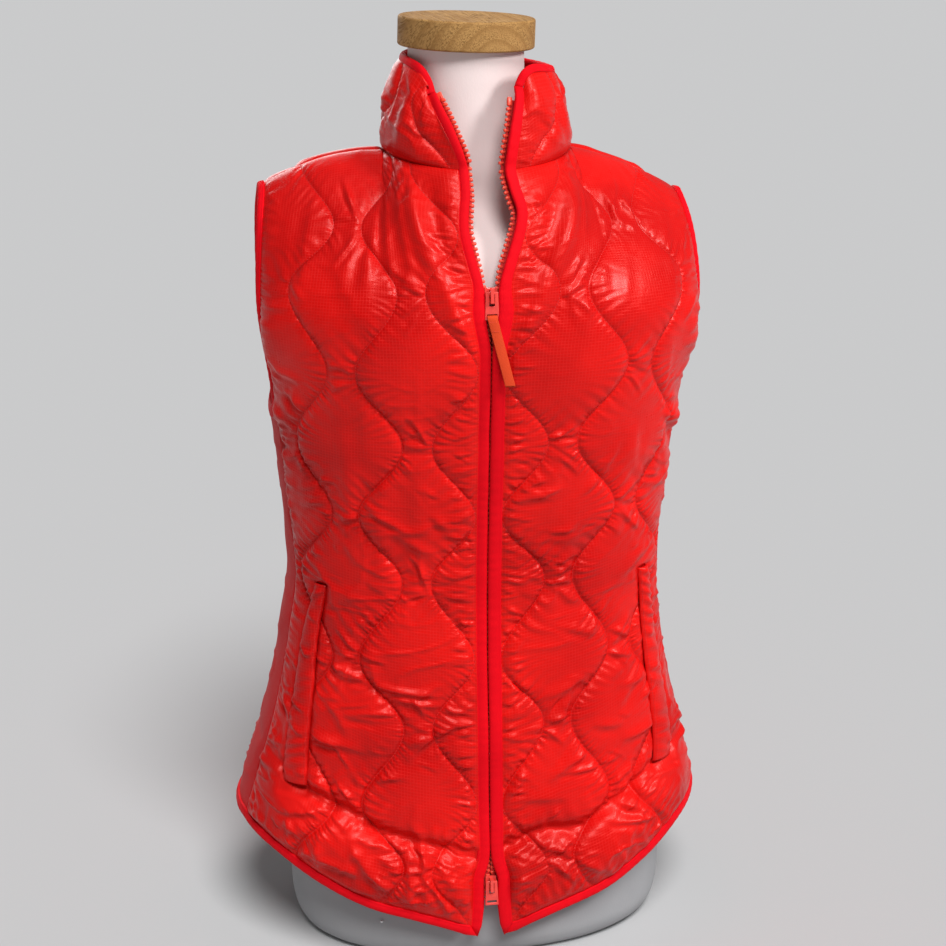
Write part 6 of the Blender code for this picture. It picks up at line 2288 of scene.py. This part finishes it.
@dataclass
class Slider:
    """Die-cast slider: two plates round the teeth, a wedge joining them at one end, and a crown that holds
    the tab.
    """

    finishes: dict
    name: str
    place: tuple
    lean: float
    upward: bool
    half: float = 5.5
    length: float = 13.0
    inner: float = 2.3
    plate: float = 1.5
    crown_half: float = 1.3
    crown_span: float = 8.2
    crown_reach: float = 9.4
    crown_bar: float = 1.4

    def build(self) -> bpy.types.Object:
        """The slider."""
        low, high = -self.length / 2, self.length / 2
        outer = self.inner + self.plate
        bar = self.crown_reach + self.crown_bar
        end = self.crown_span / 2
        body = cube(self.name + "_body", (-self.half, -outer, low), (self.half, -self.inner, high))
        wide, slim = (high, low) if self.upward else (low, high)
        for vertex in body.data.vertices:
            if abs(vertex.co.z - slim * MM) < 1e-5:
                vertex.co.x *= 0.80
            if abs(vertex.co.z - wide * MM) < 1e-5 and vertex.co.y < -self.inner * MM - 1e-5:
                vertex.co.x *= 0.92
        others = [cube("back_plate", (-self.half, self.inner, low), (self.half, outer, high))]
        wedge = (high - 4.0, high) if self.upward else (low, low + 4.0)
        others.append(cube("wedge", (-0.8, -outer, wedge[0]), (0.8, outer, wedge[1])))
        half, root = self.crown_half, -self.inner - 0.5
        foot, top = -end - self.crown_bar, end + self.crown_bar
        others.append(cube("crown_top", (-half, -bar, end), (half, root, top)))
        others.append(cube("crown_foot", (-half, -bar, foot), (half, root, -end)))
        others.append(cube("crown_arch", (-half, -bar, foot), (half, -self.crown_reach, top)))
        combined(body, others, "UNION")
        rounded(body, 0.45 * MM, 3, 50)
        turn = Matrix.Translation(Vector(self.place) * MM) @ Matrix.Rotation(self.lean, 4, "X")
        body.data.transform(turn)
        settle(body, self.finishes["enamel"], ROOT)
        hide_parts(self.name)
        return body


@dataclass
class PullTab:
    """Flat tab hanging in a slider's crown, with a long eye and a slot."""

    finishes: dict
    name: str
    pivot: tuple
    body: str
    lean: float = 5.5
    width: float = 11.5
    length: float = 22.0
    thick: float = 1.6
    bar: float = 1.8
    eye: tuple = (4.4, 9.6)
    slot: tuple = (8.2, 2.2)

    def turn(self) -> Matrix:
        """Place of the tab's axis and its lean."""
        return Matrix.Translation(Vector(self.pivot) * MM) @ Matrix.Rotation(-math.radians(self.lean), 4, "X")

    def build(self) -> bpy.types.Object:
        """The tab."""
        top = self.bar / 2
        half, deep = self.width / 2, self.thick / 2
        body = cube(self.name + "_plate", (-half, -deep, top - self.length), (half, deep, top))
        for vertex in body.data.vertices:
            if vertex.co.z > 0:
                vertex.co.x *= 0.84
        eye_top = -top
        eye = cube("eye", (-self.eye[0] / 2, -3, eye_top - self.eye[1]), (self.eye[0] / 2, 3, eye_top))
        slot_low = top - self.length + 2.2
        slot = cube("slot", (-self.slot[0] / 2, -3, slot_low), (self.slot[0] / 2, 3, slot_low + self.slot[1]))
        combined(body, [eye, slot], "DIFFERENCE")
        rounded(body, 0.38 * MM, 3, 50)
        body.data.transform(self.turn())
        settle(body, self.finishes["enamel"], self.body)
        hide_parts(self.name)
        return body


@dataclass
class Puller:
    """Webbing strip folded through the upper tab's slot and sewn on itself."""

    finishes: dict
    tab: PullTab
    body: str = "upper_pull"
    width: float = 8.0
    length: float = 60.0
    layer: float = 0.9
    slant: float = 14.0
    flat_width: float = 0.010       # the least side that a flat size may have; the area has the real width

    def build(self) -> list:
        """The strip and its stitches.

        Returns:
            The two pieces.
        """
        tab = self.tab
        drop = tab.bar / 2 - tab.length + 3.2
        forward = -(tab.thick + 1.8) / 2 - 0.25
        turn = tab.turn() @ Matrix.Translation(Vector((0.0, forward, drop)) * MM)
        # Middle line of the strip in (depth, height): up the front, through the slot and down behind.
        end = 3.0 - self.length
        fold = [(-0.45, end + 1.2), (-0.45, -30), (-0.48, -14), (-0.75, -9.0), (-1.0, -4.0), (-0.7, -1.1)]
        over = [(0.2, -0.1), (1.2, 0.25), (2.3, 0.1), (3.2, -0.6), (3.5, -1.8), (3.2, -3.3)]
        behind = [(2.2, -4.9), (1.1, -6.6), (0.5, -9.5), (0.45, -14), (0.45, -30), (0.45, end + 0.4)]
        line = np.array(fold + over + behind)
        run = run_along(line)
        places = np.linspace(0, run[-1], 150)
        path = read_along(places, run, line)
        path = softened(path, 4)
        tangent = units(np.gradient(path, axis=0))
        out = np.stack([tangent[:, 1], -tangent[:, 0]], axis=-1)
        half, deep = self.width / 2, self.layer / 2
        section = [(-half, -0.6), (-half + 0.3, -1.0), (0, -1.0), (half - 0.3, -1.0), (half, -0.6),
                   (half, 0.6), (half - 0.3, 1.0), (0, 1.0), (-half + 0.3, 1.0), (-half, 0.6)]
        rings = np.array([[(x, *(at + s * deep * way)) for x, s in section] for at, way in zip(path, out)])
        curl = 0.35 * np.sin(rings[..., 2] / 9.0) + 0.25 * (rings[..., 0] / half) ** 2
        rings[..., 1] += curl * np.clip((-rings[..., 2] - 8) / 20, 0, 1) * -1.0
        lean = math.tan(math.radians(self.slant))
        rings[..., 0] += lean * np.maximum(-rings[..., 2] - 2.0, 0.0)
        matrix = np.array(turn)
        points = rings.reshape(-1, 3) @ matrix[:3, :3].T + matrix[:3, 3] / MM
        uv = cloth_map(np.array(section)[None, :, 0], places[:, None], rings.shape[:2]).reshape(-1, 2)
        faces = bar_faces(len(path), len(section), False)
        finish = self.finishes["webbing"]
        strip = add_piece("puller_webbing", points, faces, uv, finish, self.body)
        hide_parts("puller_strip")
        rows = []
        for level in (-4.5, -12.0, 3.0 - self.length + 12.0):
            x = np.linspace(-half + 0.5, half - 0.5, 12)
            y = np.full_like(x, -1.05 if level > -20 else -1.0)
            if level > -20:
                y = y - 0.35
            row = np.stack([x + lean * (-level - 2.0), y, np.full_like(x, level)], axis=-1) @ matrix[:3, :3].T
            row = row + matrix[:3, 3] / MM
            normal = np.broadcast_to(np.array([0.0, -1.0, 0.0]) @ matrix[:3, :3].T, row.shape)
            rows.append((row, normal))
        thread = stitches("puller_stitches", rows, self.finishes["teeth"],
                          1.5, 1.1, 0.45, self.body)
        return [strip, thread]


# ---------------------------------------------------------------- dress form


@dataclass
class DressForm:
    """Smooth limbless form with its neck, turned wooden cap and one pin."""

    finishes: dict
    around: int = 144
    cap_radius: float = 55.5
    cap_height: float = 23.4
    cap_base: tuple = (-2.5, 0.0, 777.3)
    cap_tilt: float = 1.8
    rings: tuple = (
        Ring(0, 148, 95, 92, 2.3, 5), Ring(3, 157, 102, 99, 2.3, 5), Ring(10, 163.5, 107, 104, 2.3, 5),
        Ring(22, 167.5, 110, 107, 2.3, 5), Ring(45, 169, 110, 108, 2.3, 5),
        Ring(90, 168.5, 108, 107, 2.3, 4.5), Ring(150, 164, 104, 101, 2.3, 3.5),
        Ring(210, 153, 98, 91, 2.3, 2), Ring(270, 137, 90, 78, 2.25, 0), Ring(330, 124, 83, 68, 2.2, 0),
        Ring(380, 124, 83, 67, 2.2, 0), Ring(430, 134, 90, 70, 2.2, 0), Ring(480, 148, 101, 77, 2.2, 0),
        Ring(540, 160, 110, 82, 2.2, 1), Ring(585, 165, 106, 81, 2.2, 2), Ring(620, 167, 94, 74, 2.1, 2),
        Ring(638, 164, 75.5, 62, 2.0, 0), Ring(649, 157, 63, 54, 1.9, -1),
        Ring(657, 143, 56.5, 49, 1.9, -2), Ring(665, 121, 54, 46.5, 1.9, -2),
        Ring(674, 97, 53, 45, 1.95, -1), Ring(682, 80, 53, 45, 2.0, 0), Ring(692, 66, 52, 46, 2.0, 0),
        Ring(705, 56, 50, 46, 2.0, -1), Ring(725, 50.2, 48, 46, 2.0, -2),
        Ring(750, 47.6, 47, 46.5, 2.0, -2.5), Ring(776.9, 47, 47, 47, 2.0, -2.5),
    )

    def build(self) -> list:
        """The body, the cap and the pin.

        Returns:
            The three pieces.
        """
        return [self.torso(), self.cap(), self.pin()]

    def torso(self) -> bpy.types.Object:
        """The jersey-covered body with its neck."""
        knots = [ring.z for ring in self.rings]
        levels = []
        for low, high in zip(knots[:-1], knots[1:]):
            count = max(2, int((high - low) / 4))
            levels += list(np.linspace(low, high, count, endpoint=False))
        z = np.array(levels + [knots[-1]])
        size = {name: values[:, None] for name, values in ring_sizes(self.rings, z).items()}
        angle = (2 * math.pi * np.arange(self.around) / self.around)[None, :]
        s, c = np.sin(angle), np.cos(angle)
        x = size["half"] * np.sign(s) * np.abs(s) ** (2 / size["power"])
        depth = np.where(c > 0, size["front"], size["back"])
        y = -depth * np.sign(c) * np.abs(c) ** (2 / size["power"])
        level = np.broadcast_to(z[:, None], x.shape).copy()
        level[-1] -= math.tan(math.radians(self.cap_tilt)) * x[-1]
        points = np.stack([size["shift"] + x, y, level], axis=-1)
        faces = bar_faces(len(z), self.around, False)
        body = add_piece("form_body_jersey", points.reshape(-1, 3), faces, None,
                         self.finishes["jersey"])
        body.data.set_sharp_from_angle(angle=math.radians(50))
        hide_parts("form_body")
        return body

    def cap(self) -> bpy.types.Object:
        """The turned wooden disc on the neck."""
        deselect()
        tall = self.cap_height * MM
        bpy.ops.mesh.primitive_cylinder_add(vertices=128, radius=self.cap_radius * MM, depth=tall,
                                            location=(0, 0, tall / 2))
        cap = bpy.context.object
        cap.name = "neck_cap_turned"
        bpy.ops.object.transform_apply(location=True, rotation=False, scale=False)
        bpy.ops.object.mode_set(mode="EDIT")
        bpy.ops.mesh.select_mode(type="FACE")
        bpy.ops.mesh.select_all(action="DESELECT")
        bpy.ops.object.mode_set(mode="OBJECT")
        for face in cap.data.polygons:
            face.select = abs(face.normal.z) > 0.9
        bpy.ops.object.mode_set(mode="EDIT")
        bpy.ops.mesh.inset(thickness=0.004)
        bpy.ops.mesh.inset(thickness=0.030)
        bpy.ops.object.mode_set(mode="OBJECT")
        for vertex in cap.data.vertices:
            radius = math.hypot(vertex.co.x, vertex.co.y)
            if vertex.co.z > 0.02 and radius < 0.03:
                vertex.co.z += 0.0001
        rounded(cap, 1.9 * MM, 5, 60)
        lean = Matrix.Rotation(math.radians(self.cap_tilt), 4, "Y")
        cap.data.transform(Matrix.Translation(Vector(self.cap_base) * MM) @ lean)
        settle(cap, self.finishes["wood"], ROOT)
        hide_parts("form_neck_cap")
        return cap

    def pin(self) -> bpy.types.Object:
        """A dressmaker's pin pushed into the jersey near the hem."""
        deselect()
        bpy.ops.mesh.primitive_uv_sphere_add(segments=20, ring_count=12, radius=1.4 * MM)
        pin = bpy.context.object
        pin.name = "dress_pin"
        for vertex in pin.data.vertices:
            vertex.co.y *= 0.7
        pin.data.shade_smooth()
        pin.data.transform(Matrix.Translation(Vector((-92.0, -97.5, 38.0)) * MM))
        return settle(pin, self.finishes["steel"], ROOT)


# ---------------------------------------------------------------- studio


@dataclass(frozen=True)
class Softbox:
    """A large rectangular light."""

    name: str
    place: tuple
    target: tuple
    size: tuple
    power: float
    shine: float = 1.0


@dataclass
class Studio:
    """Plain pale floor, soft lights and the camera."""

    floor_color: tuple = (0.65, 0.652, 0.658, 1.0)
    sky: float = 0.17
    backdrop: float = 0.58
    sun_power: float = 2.80
    sun_size: float = 26.0      # degrees
    sun_side: float = 15.0      # degrees to the right of the camera's back
    sun_height: float = 56.0    # degrees over the floor
    lights: tuple = (
        Softbox("rake", (1.35, -1.15, 1.75), (0.0, 0.0, 0.42), (0.45, 0.45), 31.0),
        Softbox("behind", (-0.5, 2.2, 1.3), (0.0, 0.0, 0.40), (1.4, 1.4), 20.0, 0.15),
    )
    azimuth: float = -8.5
    distance: float = 1.590
    height: float = 0.943
    pitch: float = 18.4
    focal_pixels: float = 1935.0
    axis_pixel: float = 469.0
    image: int = 946

    def build(self) -> None:
        """The floor, the lights, the sky and the camera."""
        away = bpy.data.collections.new("not_raked")
        away.objects.link(self.floor())
        away.collection_objects[0].light_linking.link_state = "EXCLUDE"
        self.sun()
        for light in self.lights:
            self.softbox(light).light_linking.receiver_collection = away
        world = bpy.data.worlds.new("studio")
        world.use_nodes = True
        w = Wiring(world.node_tree)
        sky = world.node_tree.nodes["Background"]
        sky.inputs["Color"].default_value = (1.0, 1.0, 1.0, 1.0)
        seen = w.add("ShaderNodeLightPath").outputs["Is Camera Ray"]
        w.link(w.ramp(seen, 0.0, 1.0, self.sky, self.backdrop), sky, "Strength")
        scene = bpy.context.scene
        scene.world = world
        scene.view_settings.view_transform = "Standard"
        scene.view_settings.look = "None"
        self.camera()

    def floor(self) -> bpy.types.Object:
        """The floor, a wide flat plane under the form."""
        deselect()
        bpy.ops.mesh.primitive_grid_add(x_subdivisions=8, y_subdivisions=8, size=60, location=(0, 0, 0))
        floor = bpy.context.object
        floor.name = "floor"
        paint = MouldedFinish("floor_paint", self.floor_color, self.floor_color, roughness=0.9, specular=0.0,
                              grain=2.0, relief=0.0)
        floor.data.materials.append(paint.build())
        floor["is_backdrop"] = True
        return floor

    def sun(self) -> None:
        """The main light, far off and large, so the floor is lit evenly."""
        data = bpy.data.lights.new("main_light", "SUN")
        data.energy = self.sun_power
        data.angle = math.radians(self.sun_size)
        lamp = bpy.data.objects.new("main_light", data)
        turn, high = math.radians(self.azimuth + self.sun_side), math.radians(self.sun_height)
        way = Vector((math.sin(turn) * math.cos(high), -math.cos(turn) * math.cos(high), math.sin(high)))
        lamp.location = way * 6
        lamp.rotation_euler = (-way).to_track_quat("-Z", "Y").to_euler()
        bpy.context.scene.collection.objects.link(lamp)

    def softbox(self, light: Softbox) -> bpy.types.Object:
        """One area light that faces its target."""
        data = bpy.data.lights.new(light.name, "AREA")
        data.shape = "RECTANGLE"
        data.size, data.size_y = light.size
        data.energy = light.power
        data.specular_factor = light.shine
        lamp = bpy.data.objects.new(light.name, data)
        lamp.location = light.place
        way = Vector(light.target) - Vector(light.place)
        lamp.rotation_euler = way.to_track_quat("-Z", "Y").to_euler()
        bpy.context.scene.collection.objects.link(lamp)
        return lamp

    def camera(self) -> None:
        """The camera, level across and looking a little down."""
        data = bpy.data.cameras.new("camera")
        data.sensor_width = 36.0
        data.lens = 36.0 * self.focal_pixels / self.image
        data.clip_start, data.clip_end = 0.05, 200.0
        camera = bpy.data.objects.new("camera", data)
        turn = math.radians(self.azimuth)
        camera.location = (math.sin(turn) * self.distance, -math.cos(turn) * self.distance, self.height)
        aside = math.atan((self.image / 2 - self.axis_pixel) / self.focal_pixels)
        camera.rotation_euler = (math.radians(90 - self.pitch), 0.0, turn - aside)
        bpy.context.scene.collection.objects.link(camera)
        bpy.context.scene.camera = camera


# ---------------------------------------------------------------- assembly


def main() -> None:
    """Builds every piece in order."""
    logging.basicConfig(level=logging.INFO, format="%(message)s")
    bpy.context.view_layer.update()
    book = FinishBook()
    finishes = {name: getattr(book, name).build() for name in book.__dataclass_fields__}
    DressForm(finishes).build()
    for side in Side:
        FrontPanel(finishes, side=side).build()
    BackPanel(finishes).build()
    for side in Side:
        SidePanel(finishes, side=side).build()
        PocketWelt(finishes, side=side).build()
    Collar(finishes).build()
    Bindings(finishes).build()
    for side in Side:
        ZipHalf(finishes, side=side).build()
    Slider(finishes, "slider_upper", (0.0, -113.06, 596.98), -0.1908, True).build()
    Slider(finishes, "slider_lower", (0.0, -121.34, 83.47), -0.0984, False).build()
    upper = PullTab(finishes, "pull_tab_upper", (0.0, -119.74, 600.91), "upper_pull")
    upper.build()
    PullTab(finishes, "pull_tab_lower", (0.0, -128.35, 86.77), "lower_pull").build()
    Puller(finishes, upper).build()
    Studio().build()
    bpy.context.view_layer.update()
    faces = sum(len(face.vertices) - 2 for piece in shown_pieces() for face in piece.data.polygons)
    LOG.info("all pieces: %d triangles", faces)


if __name__ == "__main__":
    main()
